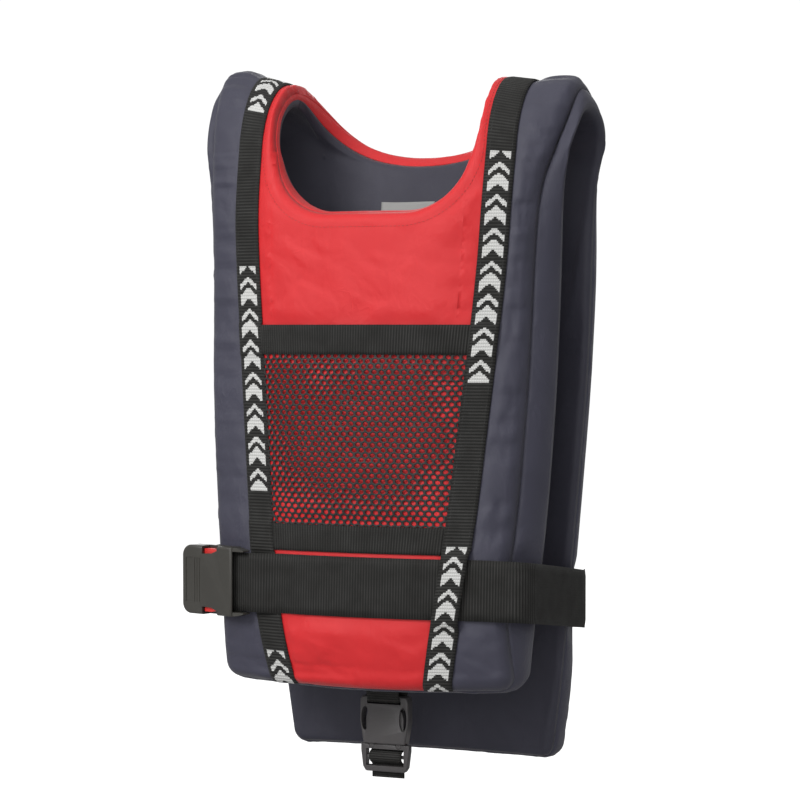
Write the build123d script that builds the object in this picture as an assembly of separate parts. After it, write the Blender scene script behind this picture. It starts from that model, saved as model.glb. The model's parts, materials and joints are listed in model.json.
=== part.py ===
from build123d import *
import math
import os

# A pullover buoyancy jacket: foam pads in fabric covers, joined over the shoulders.
# Origin on the wearer's shoulder line, midway between the shoulders; +Z up, front towards -Y.

os.makedirs("parts", exist_ok=True)

# ---- driving dimensions, in millimetres ----
fabric = 1.0             # thickness of a cover skin
gap = 0.1                # clearance between stacked layers
crest_gap = 0.3          # clearance between the front and back halves on the shoulder crest
strap_width = 25.0       # shoulder webbing
belt_width = 50.0        # waist belt webbing
crotch_width = 30.0      # crotch strap webbing
strap_thick = 1.5        # shoulder and pocket webbing
belt_thick = 2.0         # belt webbing
strap_x = 115.0          # strap centre line at the crest

arch_z = -40.0           # height where the shoulder arch begins
crest_rise = 60.0        # arch_z up to the outer surface on the crest
lining_rise = 40.0       # arch_z up to the lining on the crest, so the lining is at Z 0
crest_lift = 10.0        # extra foam height towards the armhole
side_ref = 100.0         # distance from the middle at which the pad profiles are given
outer_bend = 500.0       # plan radius of the outer faces
inner_bend = 700.0       # plan radius of the lining faces

belt_z = -408.0          # belt centre height on the front
belt_drop = 22.0         # how much lower the belt runs on the back

pocket_top = -190.0
pocket_bottom = -380.0
pocket_depth = 9.5       # room between the net and the front panel
pocket_rim = 4.0         # closed margin of the net at its sides and bottom
band_height = 25.0       # webbing bands across the pocket

stations = [-172, -145, -115, -60, 0, 60, 115, 145, 172]

# Pad profiles at side_ref: (height, distance from the crest plane), hem first.
front_pad = {
    "side": -1,
    "outer": [(-525, 61), (-495, 69), (-455, 76), (-353, 72), (-293, 68), (-200, 62), (-113, 58), (-40, 55)],
    "inner": [(-525, 24), (-495, 23), (-455, 24), (-353, 22), (-293, 20), (-200, 17), (-113, 18), (-40, 34)],
}
back_pad = {
    "side": 1,
    "outer": [(-595, 99), (-565, 103), (-500, 106), (-400, 98), (-300, 93), (-200, 90), (-113, 86), (-40, 70)],
    "inner": [(-595, 60), (-565, 60), (-500, 60), (-400, 52), (-300, 47), (-200, 44), (-113, 42), (-40, 49)],
}

# Strap centre line, (distance from the middle, height), and the same on the back.
front_strap = [(69, -493), (77, -455), (91, -353), (97, -293), (106, -200), (113, -113), (115, -40), (115, 60)]
back_strap = [(84, -563), (90, -500), (97, -400), (103, -300), (108, -200), (113, -113), (115, -40), (115, 60)]

made = {}


def keep(name, shape):
    """Adds a finished piece under its node name."""
    made[name] = shape


# ---- pad surfaces ----
def plan_bend(x, radius):
    """How much further out the surface is at x than at side_ref."""
    return (side_ref ** 2 - x ** 2) / (2 * radius)


def smooth(t):
    """Eases from 0 to 1."""
    t = min(max(t, 0.0), 1.0)
    return t * t * (3 - 2 * t)


def surface_points(pad, face, depth, x):
    """Points of one pad surface in the plane at x, hem to crest, moved into the foam by depth."""
    outward = face == "outer"
    sink = -depth if outward else depth
    bend = plan_bend(x, outer_bend if outward else inner_bend)
    points = []
    for z, reach in pad[face]:
        points.append(Vector(x, pad["side"] * (reach + bend + sink), z))
    start = pad[face][-1][1] + bend + sink
    lift = crest_lift * smooth((abs(x) - 112) / 33) if outward else 0
    rise = (crest_rise + lift if outward else lining_rise) + sink
    for step in range(1, 6):
        angle = math.radians(90 * step / 5)
        reach = crest_gap / 2 + (start - crest_gap / 2) * math.cos(angle)
        points.append(Vector(x, pad["side"] * reach, arch_z + rise * math.sin(angle)))
    return points


def spacing(points):
    """Spline parameters spread by the distance between points."""
    run = [0.0]
    for a, b in zip(points, points[1:]):
        run.append(run[-1] + (b - a).length)
    return [value / run[-1] for value in run]


def layer(pad, near, far):
    """The lofted layer between two surfaces, each given as (face, depth)."""
    near_spread = spacing(surface_points(pad, near[0], near[1], side_ref))
    far_spread = spacing(surface_points(pad, far[0], far[1], side_ref)[::-1])
    sections = []
    for x in stations:
        one = surface_points(pad, near[0], near[1], x)
        two = surface_points(pad, far[0], far[1], x)
        edges = [
            Edge.make_spline(one, parameters=near_spread),
            Edge.make_line(one[-1], two[-1]),
            Edge.make_spline(two[::-1], parameters=far_spread),
            Edge.make_line(two[0], one[0]),
        ]
        sections.append(Wire(edges))
    return Solid.make_loft(sections, ruled=False)


def reach_at(pad, face, x, z):
    """Distance of a pad surface from the crest plane, below the arch."""
    rows = pad[face]
    for (z0, r0), (z1, r1) in zip(rows, rows[1:]):
        if z0 <= z <= z1:
            reach = r0 + (r1 - r0) * (z - z0) / (z1 - z0)
            return reach + plan_bend(x, outer_bend if face == "outer" else inner_bend)
    raise ValueError("height outside the pad")


# ---- outlines in the front view ----
def prism(face):
    """Carries a front-view face right through the jacket."""
    return extrude(face, amount=300, dir=(0, 1, 0), both=True)


def flat(points):
    """Front-view points as vectors."""
    return [Vector(x, 0, z) for x, z in points]


def mirrored_face(half):
    """A face from the edges of its right half, mirrored about the middle plane."""
    other = [edge.mirror(Plane.YZ) for edge in half]
    return Face(Wire(half + other))


def round_corners(face, x, z, radius):
    """Rounds the two corners nearest (x, z) and (-x, z)."""
    corners = []
    for side in (1, -1):
        corners.append(min(face.vertices(), key=lambda v: (Vector(v) - Vector(side * x, 0, z)).length))
    return face.fillet_2d(radius, corners)


def front_outline(inset):
    """Front pad outline: a U neckline, shoulders, nearly straight sides and a round-cornered hem."""
    neck_r = 55 + inset
    neck_x, neck_z = 34, -41
    top = 35 - inset
    side = [(162, top), (160, -30), (155, -85), (150, -200), (147, -295), (144, -369), (139, -435), (133, -495)]
    side = [(x - inset, z) for x, z in side[:-1]] + [(133 - inset, -495 + inset)]
    low = Vector(neck_x, 0, neck_z - neck_r)
    mid = Vector(neck_x + neck_r * math.sin(math.radians(45)), 0, neck_z - neck_r * math.cos(math.radians(45)))
    high = Vector(neck_x + neck_r, 0, neck_z)
    shoulder = Vector(91 + inset, 0, top)
    edges = [
        Edge.make_line(Vector(0, 0, neck_z - neck_r), low),
        Edge.make_three_point_arc(low, mid, high),
        Edge.make_line(high, shoulder),
        Edge.make_line(shoulder, Vector(162 - inset, 0, top)),
        Edge.make_spline(flat(side)),
        Edge.make_line(Vector(133 - inset, 0, -495 + inset), Vector(0, 0, -495 + inset)),
    ]
    face = mirrored_face(edges)
    face = round_corners(face, 133 - inset, -495 + inset, 35 - inset)
    return round_corners(face, 162 - inset, top, 20 - inset)


def back_outline(inset):
    """Back pad outline: a shallow neckline and a longer body that narrows to its hem."""
    top = 35 - inset
    neck = [(0, -42), (28, -40), (55, -31), (76, -10), (87, 14), (91, 35)]
    neck = [(x + inset * (x / 91), z - inset * (1 - x / 91)) for x, z in neck[:-1]] + [(91 + inset, top)]
    side = [(162, top), (165, -20), (164, -60), (160, -168), (151, -297), (145, -377), (136, -465)]
    side = [(x - inset, z) for x, z in side] + [(123 - inset, -565 + inset)]
    edges = [
        Edge.make_spline(flat(neck), tangents=[Vector(1, 0, 0), Vector(0, 0, 1)]),
        Edge.make_line(Vector(91 + inset, 0, top), Vector(162 - inset, 0, top)),
        Edge.make_spline(flat(side)),
        Edge.make_line(Vector(123 - inset, 0, -565 + inset), Vector(0, 0, -565 + inset)),
    ]
    face = mirrored_face(edges)
    face = round_corners(face, 123 - inset, -565 + inset, 14 - inset)
    return round_corners(face, 162 - inset, top, 20 - inset)


def strip(centre, side, width, low, high):
    """A strip of webbing in the front view, along a centre line, between two heights."""
    line = Edge.make_spline([Vector(side * x, 0, z) for x, z in centre])
    left, right = [], []
    for step in range(13):
        spot = line @ (step / 12)
        along = line % (step / 12)
        across = Vector(along.Z, 0, -along.X)
        left.append(spot + across * (width / 2))
        right.append(spot - across * (width / 2))
    edges = [
        Edge.make_spline(left),
        Edge.make_line(left[-1], right[-1]),
        Edge.make_spline(right[::-1]),
        Edge.make_line(right[0], left[0]),
    ]
    window = Pos(side * 90, 0, (low + high) / 2) * Box(200, 700, high - low)
    return prism(Face(Wire(edges))) & window


def middle(centre, spare):
    """The region between the two strap centre lines, in the front view."""
    spots = [(x - spare, z) for x, z in centre]
    low_x, low_z = spots[0]
    spots = [(low_x, low_z - 60)] + spots
    right = Edge.make_spline(flat(spots))
    left = right.mirror(Plane.YZ)
    edges = [
        right,
        Edge.make_line(right @ 1, left @ 1),
        left,
        Edge.make_line(left @ 0, right @ 0),
    ]
    return prism(Face(Wire(edges)))


def ribbon(path, thickness):
    """A closed 2D strip of constant thickness along a polyline, as corner points."""
    one, two = [], []
    for i, (x, y) in enumerate(path):
        x0, y0 = path[max(i - 1, 0)]
        x1, y1 = path[min(i + 1, len(path) - 1)]
        length = math.hypot(x1 - x0, y1 - y0)
        nx, ny = -(y1 - y0) / length, (x1 - x0) / length
        turn = 1.0
        if 0 < i < len(path) - 1:
            first = math.hypot(x - x0, y - y0)
            turn = abs((nx * -(y - y0) + ny * (x - x0)) / first)
        half = thickness / 2 / max(turn, 0.5)
        one.append((x + nx * half, y + ny * half))
        two.append((x - nx * half, y - ny * half))
    return one + two[::-1]


def plan_ribbon(path, thickness, z, height):
    """Webbing standing on edge: a plan path carried up to the webbing's width."""
    corners = [Vector(x, y, z - height / 2) for x, y in ribbon(path, thickness)]
    face = Face(Wire(Edge.make_line(a, b) for a, b in zip(corners, corners[1:] + corners[:1])))
    return extrude(face, amount=height, dir=(0, 0, 1))


def side_ribbon(path, thickness, width):
    """Webbing seen from the side: a (Y, Z) path carried across the webbing's width."""
    corners = [Vector(0, y, z) for y, z in ribbon(path, thickness)]
    face = Face(Wire(Edge.make_line(a, b) for a, b in zip(corners, corners[1:] + corners[:1])))
    return extrude(face, amount=width / 2, dir=(1, 0, 0), both=True)


def bent_path(spots, steps):
    """Points along a smooth plan curve through the given spots."""
    curve = Edge.make_spline([Vector(x, y, 0) for x, y in spots])
    return [((curve @ (i / steps)).X, (curve @ (i / steps)).Y) for i in range(steps + 1)]


# ---- the two pads ----
def make_pad(name, pad, outline, strap):
    """Foam, lining, outer panels, gusset, neck edging and the two shoulder straps of one pad."""
    whole = prism(outline(0))
    inner = prism(outline(fabric + gap))
    rim = whole - prism(outline(fabric))
    below = fabric + gap
    core = layer(pad, ("outer", below), ("inner", below))
    skin = layer(pad, ("outer", 0), ("outer", fabric))
    lining = layer(pad, ("inner", fabric), ("inner", 0))
    web = layer(pad, ("outer", -gap - strap_thick), ("outer", -gap))

    keep(name + "_foam", core & inner)
    keep(name + "_lining", lining & whole)
    edge = core & rim
    neck_zone = Pos(0, 0, -20) * Box(210, 700, 180)
    neck_limit = Pos(0, 0, -20) * Box(246, 700, 180)
    pieces = sorted(edge.solids(), key=lambda s: -s.volume)
    keep(name + "_gusset", pieces[0] if len(pieces) > 1 else edge - neck_limit)
    keep(name + "_neck_edging", pieces[1] if len(pieces) > 1 else edge & neck_zone)

    panel = skin & whole
    keep(name + "_panel_centre", panel & middle(strap, gap / 2))
    sides = sorted((panel - middle(strap, -gap / 2)).solids(), key=lambda s: s.center().X)
    keep(name + "_panel_left", sides[0])
    keep(name + "_panel_right", sides[-1])
    for side, word in ((-1, "left"), (1, "right")):
        low = strap[0][1]
        keep(name + "_strap_" + word, web & strip(strap, side, strap_width, low, 60))


def raise_strap_over_belt():
    """The right front strap lies over the belt, so it steps out round it."""
    low, high = belt_z - belt_width / 2 - 1, belt_z + belt_width / 2 + 1
    step = 2.5
    out = gap + strap_thick + belt_thick + 2 * gap
    strap = made["front_strap_right"]
    window = Pos(90, 0, (low + high) / 2) * Box(200, 700, high - low)
    over = layer(front_pad, ("outer", -out - 2 * gap - strap_thick), ("outer", -out - gap))
    riser = layer(front_pad, ("outer", -out - 2 * gap - strap_thick), ("outer", -gap))
    bridge = over & strip(front_strap, 1, strap_width, low - step, high + step)
    foot_low = riser & strip(front_strap, 1, strap_width, low - step, low)
    foot_high = riser & strip(front_strap, 1, strap_width, high, high + step)
    made["front_strap_right"] = (strap - window) + bridge + foot_low + foot_high


# ---- pocket ----
def pocket_zone(low, high, spare):
    """The region between the two front straps, held in by spare, between two heights."""
    zone = middle([(x - strap_width / 2 - spare, z) for x, z in front_strap], 0)
    return zone & (Pos(0, 0, (low + high) / 2) * Box(400, 700, high - low))


def make_pocket():
    """A net pouch that stands proud of the front panel, with a webbing band at its mouth and foot."""
    foot = pocket_bottom + band_height
    deep = gap + pocket_depth
    shell = layer(front_pad, ("outer", -deep - fabric), ("outer", -gap))
    hollow = layer(front_pad, ("outer", -deep), ("outer", 10))
    net = shell & pocket_zone(foot - 2, pocket_top, 0.5)
    net -= hollow & pocket_zone(foot - 2 + pocket_rim, pocket_top + 10, 0.5 + pocket_rim)
    keep("pocket_net", net)
    band = layer(front_pad, ("outer", -deep - fabric - gap - strap_thick), ("outer", -deep - fabric - gap))
    keep("pocket_top_band", band & pocket_zone(pocket_top - band_height, pocket_top, 0.5))
    low_band = layer(front_pad, ("outer", -gap - strap_thick), ("outer", -gap))
    keep("pocket_bottom_band", low_band & pocket_zone(pocket_bottom, foot - 2.5, 0.5))


# ---- waist belt and its buckle ----
buckle_turn = 15.0       # how far the buckle follows the jacket round the side, in degrees
buckle_start = Vector(-110, -83.7, belt_z)
socket_length = 56.0
socket_half = 29.5       # half of the socket's height
channel_half = 27.4      # half of the room inside the socket
plate_out, plate_in = 6.5, -7.0
lever_free = 0.3         # clearance round each lever
loop_tail = 13.0         # length of the loop's tails behind the bar
bar_x, bar_out, bar_r = 51.4, -0.8, 2.6   # the prong half's webbing bar: place along, place outwards, radius


def buckle_plane():
    """Local frame of the belt buckle: x along the buckle, z outwards, y down."""
    turn = math.radians(buckle_turn)
    along = Vector(-math.cos(turn), math.sin(turn), 0)
    outward = Vector(-math.sin(turn), -math.cos(turn), 0)
    return Plane(origin=buckle_start, x_dir=along, z_dir=outward)


def block(x0, x1, y0, y1, z0, z1):
    """A box between two corners."""
    return Pos((x0 + x1) / 2, (y0 + y1) / 2, (z0 + z1) / 2) * Box(x1 - x0, y1 - y0, z1 - z0)


def plate(points, z0, z1):
    """A polygon in the local XY plane, thickened between two heights."""
    face = Face(Wire.make_polygon([Vector(x, y, z0) for x, y in points], close=True))
    return extrude(face, amount=z1 - z0, dir=(0, 0, 1))


def belt_socket_shape():
    """Socket half: a flat shell with horns beside the webbing, lever windows and an open far end."""
    body = block(0, socket_length, -socket_half, socket_half, plate_in, plate_out)
    far = body.edges().filter_by(Axis.Z).group_by(Axis.X)[-1]
    body = fillet(far, 9)
    body = fillet(body.edges().group_by(Axis.Z)[-1], 2.2)
    for side in (-1, 1):
        horn = [(2, side * 29.3), (-5, side * 28.8), (-12, side * 26.9), (-12, side * 25.9), (2, side * 24)]
        body += plate(horn, -4.2, 4.4)
    body -= block(-13, 11, -25.8, 25.8, -4.4, 4.4)
    body -= block(15, 60, -channel_half, channel_half, -4.3, 4.3)
    body -= block(43, 60, -channel_half, channel_half, -8, -4)
    for side in (-1, 1):
        window = [(16, side * 31), (16, side * 25.8), (22, side * 23.2), (33, side * 22.6), (33, side * 31)]
        body -= plate(window, -4.3, 8)
    body += Pos(6, 0, 1.6) * (Rot(90, 0, 0) * Cylinder(2.6, 52.4))
    body -= block(44, 51.5, -19, 19, plate_out - 0.7, 8)
    for x in (40.5, 37.8, 35.1):
        body -= block(x, x + 1.0, -19, 19, plate_out - 0.4, 8)
    return body


def belt_frame_shape():
    """Prong half: crossbar, webbing bar, side arms and a guiding tongue."""
    frame = block(38, 43, -26.6, 26.6, -3.8, 3.8)
    for side in (-1, 1):
        frame += block(42.5, 54, side * 26.1 - 0.9, side * 26.1 + 0.9, -3.6, 2.4)
    frame += Pos(bar_x, 0, bar_out) * (Rot(90, 0, 0) * Cylinder(bar_r, 52.4))
    tongue = block(20, 38.5, -5, 5, -3, 3)
    frame += fillet(tongue.edges().filter_by(Axis.Z).group_by(Axis.X)[0], 3)
    for side in (-1, 1):
        frame -= Pos(38, side * 18.5, 0) * Cylinder(2.6 + lever_free, 10)
        frame -= block(34, 38, side * 18.5 - 3.6, side * 18.5 + 3.6, -5, 5)
    return frame


def belt_lever_shape(side):
    """One squeeze lever: a round root, a springing arm and a rounded head in the window."""
    root = Pos(38, side * 18.5, 0) * Cylinder(2.6, 7.2)
    arm = plate([(38, side * 17), (38, side * 20), (29, side * 24), (27, side * 21)], -3.6, 3.6)
    head = [(32, side * 22), (32, side * 27), (24, side * 27), (17.5, side * 25.4), (15.8, side * 21.6), (22, side * 20)]
    return root + arm + plate(head, -3.8, 3.8)


def make_belt():
    """Belt webbing in its stretches, and the side-release buckle on the left."""
    low, high = belt_z - belt_width / 2, belt_z + belt_width / 2
    start_x, end_x = -88, 139
    clear = 3.9          # the flat-standing stretches keep this much further out than the leaning pad
    over = gap + strap_thick + gap
    on_front = layer(front_pad, ("outer", -over - belt_thick), ("outer", -over))
    front = on_front & block(start_x, end_x, -200, 0, low, high)
    plane = buckle_plane()
    lead_x = start_x + 1.5
    lead = [(lead_x, -(reach_at(front_pad, "outer", lead_x, belt_z) + over + belt_thick / 2 + clear))]
    for along in (-14, 9.5):
        spot = plane.from_local_coords(Vector(along, 0, -2.7))
        lead.append((spot.X, spot.Y))
    keep("belt_front", front + plan_ribbon(lead, belt_thick, belt_z, belt_width))

    rear_z = belt_z - belt_drop
    on_back = layer(back_pad, ("outer", -over - belt_thick), ("outer", -over))
    keep("belt_back", on_back & block(-136, 136, 0, 200, rear_z - belt_width / 2, rear_z + belt_width / 2))

    tilt = math.degrees(math.atan2(belt_drop, 160))
    front_y = -(reach_at(front_pad, "outer", end_x, belt_z) + over + belt_thick / 2 + clear)
    back_y = reach_at(back_pad, "outer", 136, rear_z) + over + belt_thick / 2 + clear + 1.6
    right = bent_path(
        [(end_x + 1.2, front_y), (152, -59), (157.5, -35), (159.5, 10), (158, 50), (154.5, 80), (147.5, 94), (137.2, back_y)], 18
    )
    swing = Pos(0, front_y, belt_z) * Rot(-tilt, 0, 0) * Pos(0, -front_y, -belt_z)
    keep("belt_side_right", swing * plan_ribbon(right, belt_thick, belt_z, belt_width))

    make_left_side(back_y)
    keep("belt_buckle_socket", plane.location * belt_socket_shape())
    keep("belt_buckle_frame", plane.location * belt_frame_shape())
    keep("belt_lever_upper", plane.location * belt_lever_shape(-1))
    keep("belt_lever_lower", plane.location * belt_lever_shape(1))


def end_loop_shape():
    """The belt's end: half a turn round the prong half's bar and two tails towards the wearer."""
    inner = bar_r + gap
    outer = inner + 1.2
    ring = Rot(90, 0, 0) * (Cylinder(outer, belt_width) - Cylinder(inner, belt_width + 1))
    loop = ring - block(-9, 9, -30, 30, -9, 0)
    for side in (-1, 1):
        loop += block(min(side * inner, side * outer), max(side * inner, side * outer), -25, 25, -loop_tail, 0)
    return Pos(bar_x, 0, bar_out) * loop


def make_left_side(back_y):
    """The left stretch of the belt: a loop on the prong half's bar, then two spans to the back pad."""
    plane = buckle_plane()
    keep("belt_end_loop", plane.location * end_loop_shape())
    end = plane.from_local_coords(Vector(bar_x, 0, bar_out - loop_tail - 1.3))
    spots = [(end.X, end.Y), (-158, -38), (-160, -12)]
    keep("belt_left_front_span", plan_ribbon(bent_path(spots, 6), belt_thick, belt_z, belt_width))
    rear = [(-160, -6), (-160.5, 20), (-158.5, 50), (-154.5, 80), (-147.5, 94), (-137.2, back_y)]
    tilt = math.degrees(math.atan2(belt_drop, back_y + 6))
    swing = Pos(0, -6, belt_z) * Rot(-tilt, 0, 0) * Pos(0, 6, -belt_z)
    keep("belt_left_rear_span", swing * plan_ribbon(bent_path(rear, 12), belt_thick, belt_z, belt_width))


# ---- crotch strap and its buckle ----
crotch_y = -16.0         # buckle centre plane
crotch_top = -508.0      # top of the socket half
crotch_mid = -549.0      # where the two halves meet
crotch_low = -573.0      # foot of the ladder lock


def crotch_plane():
    """Local frame of the crotch buckle: x to the right, y up, z outwards, origin at Z 0."""
    return Plane(origin=(0, crotch_y, 0), x_dir=(1, 0, 0), z_dir=(0, -1, 0))


def crotch_socket_shape():
    """Waisted socket half with an oval window on each side and a webbing bar at the top."""
    right = [(20.5, crotch_top), (22.2, -512), (22.4, -530), (20.8, -540), (19.2, crotch_mid)]
    outline = right + [(-x, z) for x, z in right[::-1]]
    body = plate(outline, -5.6, 5.6)
    body = fillet(body.edges().group_by(Axis.Z)[-1] + body.edges().group_by(Axis.Z)[0], 1.6)
    body -= block(-15.6, 15.6, -514.5, -511.5, -8, 8)
    body -= block(-17.6, 17.6, crotch_mid - 1, -519, -3.8, 3.8)
    for side in (-1, 1):
        oval = Pos(side * 17.6, -527, 0) * scale(Cylinder(1, 20), by=(3.4, 10.5, 1))
        body -= oval
    return body


def crotch_lock_shape():
    """Ladder-lock half: a frame with three crossbars and a guiding tongue."""
    right = [(22.4, crotch_mid - 0.4), (22.4, -555), (20.6, -569), (18, crotch_low)]
    outline = right + [(-x, z) for x, z in right[::-1]]
    frame = plate(outline, -3.4, 3.4)
    frame = fillet(frame.edges().filter_by(Axis.Z).group_by(Axis.Y)[0], 2.0)
    frame = fillet(frame.edges().group_by(Axis.Z)[-1] + frame.edges().group_by(Axis.Z)[0], 1.0)
    frame -= block(-17.4, 17.4, -568, -553.5, -8, 8)
    frame += block(-17.8, 17.8, -561.6, -558.8, -1.5, 1.3)
    tongue = block(-4.5, 4.5, -550, -524, -2.8, 2.8)
    frame += fillet(tongue.edges().filter_by(Axis.Z).group_by(Axis.Y)[-1], 2.5)
    for side in (-1, 1):
        frame -= Pos(side * 12.5, -550.4, 0) * Cylinder(2.2 + lever_free, 12)
    return frame


def crotch_lever_shape(side):
    """One squeeze lever of the crotch buckle."""
    root = Pos(side * 12.5, -550.4, 0) * Cylinder(2.2, 6.6)
    arm = plate([(side * 11.4, -550), (side * 14.4, -550), (side * 16.6, -539), (side * 13.4, -538)], -3.2, 3.2)
    head = [(13, -540.5), (17.3, -540.5), (17.3, -527), (15.6, -521), (13, -520.4), (12, -530)]
    return root + arm + plate([(side * x, z) for x, z in head], -3.4, 3.4)


def make_crotch():
    """Web loop, buckle halves, levers and the strap that runs back between the pads."""
    place = crotch_plane().location
    keep("crotch_buckle_socket", place * crotch_socket_shape())
    keep("crotch_ladder_lock", place * crotch_lock_shape())
    keep("crotch_lever_left", place * crotch_lever_shape(-1))
    keep("crotch_lever_right", place * crotch_lever_shape(1))
    hang = -(reach_at(front_pad, "inner", 0, -480) - 2.0)
    loop = [(hang, -468), (hang, -494), (-23.0, -507), (-22.6, -512.9), (-9.6, -512.9), (-9.3, -507), (-14, -494)]
    keep("crotch_web_loop", side_ribbon(loop, 1.2, crotch_width))
    tail = [(-11.4, -579), (-11.4, -568.2), (-12.2, -566.6), (-18.5, -563.4), (-18.5, -557), (-12, -554.6), (-9.2, -552)]
    keep("crotch_strap_tail", side_ribbon(tail, 1.2, crotch_width))
    run = [(-8.9, -551.6), (-8.4, -540), (-7.4, -520), (-4, -503), (2, -492)]
    keep("crotch_strap_run", side_ribbon(run, 1.2, crotch_width))
    low_wall = reach_at(back_pad, "inner", 0, -452) - 1.6
    high_wall = reach_at(back_pad, "inner", 0, -425) - 1.6
    span = [(2.6, -491.4), (14, -480), (32, -470.5), (low_wall - 10, -462), (low_wall, -452), (high_wall, -425)]
    keep("crotch_strap_span", side_ribbon(span, 1.2, crotch_width))


def make_label():
    """A sewn fabric label on the back lining, below the neckline."""
    sheet = layer(back_pad, ("inner", -gap), ("inner", -gap - 0.6))
    keep("size_label", sheet & block(-33, 17, 0, 200, -128, -82))


make_pad("front", front_pad, front_outline, front_strap)
make_pad("back", back_pad, back_outline, back_strap)
raise_strap_over_belt()
make_pocket()
make_belt()
make_crotch()
make_label()

for node, shape in made.items():
    export_step(Compound(shape.solids()), "parts/" + node + ".step")
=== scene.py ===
import json
import math
import bmesh
import bpy
import numpy as np
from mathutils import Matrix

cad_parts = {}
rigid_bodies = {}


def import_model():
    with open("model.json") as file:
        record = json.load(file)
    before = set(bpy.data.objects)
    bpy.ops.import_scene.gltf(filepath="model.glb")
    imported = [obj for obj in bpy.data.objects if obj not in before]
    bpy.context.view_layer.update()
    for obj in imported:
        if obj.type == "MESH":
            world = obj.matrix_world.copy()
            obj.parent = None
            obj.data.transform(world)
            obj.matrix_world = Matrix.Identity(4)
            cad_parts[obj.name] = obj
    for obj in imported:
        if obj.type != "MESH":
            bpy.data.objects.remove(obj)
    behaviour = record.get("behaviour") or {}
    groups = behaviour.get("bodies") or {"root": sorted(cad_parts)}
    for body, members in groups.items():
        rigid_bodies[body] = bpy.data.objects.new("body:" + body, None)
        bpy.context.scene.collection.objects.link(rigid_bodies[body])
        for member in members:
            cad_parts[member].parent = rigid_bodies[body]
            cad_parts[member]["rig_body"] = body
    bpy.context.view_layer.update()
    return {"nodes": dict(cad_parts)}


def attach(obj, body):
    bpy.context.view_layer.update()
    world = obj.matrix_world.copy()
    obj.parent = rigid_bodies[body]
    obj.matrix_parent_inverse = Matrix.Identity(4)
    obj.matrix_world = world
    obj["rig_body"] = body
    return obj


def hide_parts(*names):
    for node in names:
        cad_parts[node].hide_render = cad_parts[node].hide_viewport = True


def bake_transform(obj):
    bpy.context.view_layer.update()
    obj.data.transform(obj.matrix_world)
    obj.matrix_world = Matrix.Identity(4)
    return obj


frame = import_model()
print("frame loaded", len(frame["nodes"]), "nodes")

# Everything is in metres, in the jacket's own frame: +Z up, front towards -Y,
# with the lining on the shoulders at Z 0.

# The pads' common shape
padShape = {
    "front": {"side": -1.0, "hem": -0.495,
              "outer": [(-0.525, 0.061), (-0.495, 0.069), (-0.455, 0.076), (-0.353, 0.072), (-0.293, 0.068),
                        (-0.200, 0.062), (-0.113, 0.058), (-0.040, 0.055)],
              "inner": [(-0.525, 0.024), (-0.495, 0.023), (-0.455, 0.024), (-0.353, 0.022), (-0.293, 0.020),
                        (-0.200, 0.017), (-0.113, 0.018), (-0.040, 0.034)],
              "strap": [(-0.525, 0.063), (-0.455, 0.077), (-0.353, 0.091), (-0.293, 0.097), (-0.200, 0.106),
                        (-0.113, 0.113), (-0.040, 0.115)],
              "edge": [(-0.525, 0.130), (-0.435, 0.139), (-0.369, 0.144), (-0.295, 0.147), (-0.200, 0.150),
                       (-0.085, 0.155), (-0.030, 0.160), (0.035, 0.162)],
              "corner": 0.013},
    "back": {"side": 1.0, "hem": -0.565,
             "outer": [(-0.595, 0.099), (-0.565, 0.103), (-0.500, 0.106), (-0.400, 0.098), (-0.300, 0.093),
                       (-0.200, 0.090), (-0.113, 0.086), (-0.040, 0.070)],
             "inner": [(-0.595, 0.060), (-0.565, 0.060), (-0.500, 0.060), (-0.400, 0.052), (-0.300, 0.047),
                       (-0.200, 0.044), (-0.113, 0.042), (-0.040, 0.049)],
             "strap": [(-0.595, 0.081), (-0.500, 0.090), (-0.400, 0.097), (-0.300, 0.103), (-0.200, 0.108),
                       (-0.113, 0.113), (-0.040, 0.115)],
             "edge": [(-0.595, 0.118), (-0.465, 0.136), (-0.377, 0.145), (-0.297, 0.151), (-0.168, 0.160),
                      (-0.060, 0.1635), (-0.020, 0.164), (0.035, 0.162)],
             "corner": 0.010},
}
pads = {
    "archZ": -0.040,         # height where the shoulder arch begins
    "archShare": 0.13,       # share of the hem-to-crest way that the arch takes
    "crestRise": 0.060,      # arch start up to the outer surface on the crest
    "liningRise": 0.040,
    "crestLift": 0.010,      # extra foam towards the armhole
    "profileX": 0.100,       # distance from the middle at which the profiles hold
    "outerBend": 0.500,      # plan radius of the outer faces
    "innerBend": 0.700,
    "edgeRound": 0.010,      # roundness of the outer edges
    "liningRound": 0.007,
    "neckHalf": 0.0890,      # half width of the neck
    "frontNeckFlat": 0.034,  # half of the flat part of the front neckline
    "frontNeckRound": 0.055,
    "neckTop": -0.041,       # height of the middle of the front neckline's arcs
    "archRun": 0.102,        # length of the arch from the crest to its start
    "backNeckRun": 0.104,    # how far down from the crest the back neckline lies in the middle
    "neckPower": 2.5,
    "cloth": 0.0008,         # thickness of the covers and the lining
    "neckShare": 0.78,       # the neck edge's line below the neck, as a share of the strap line
}


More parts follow.
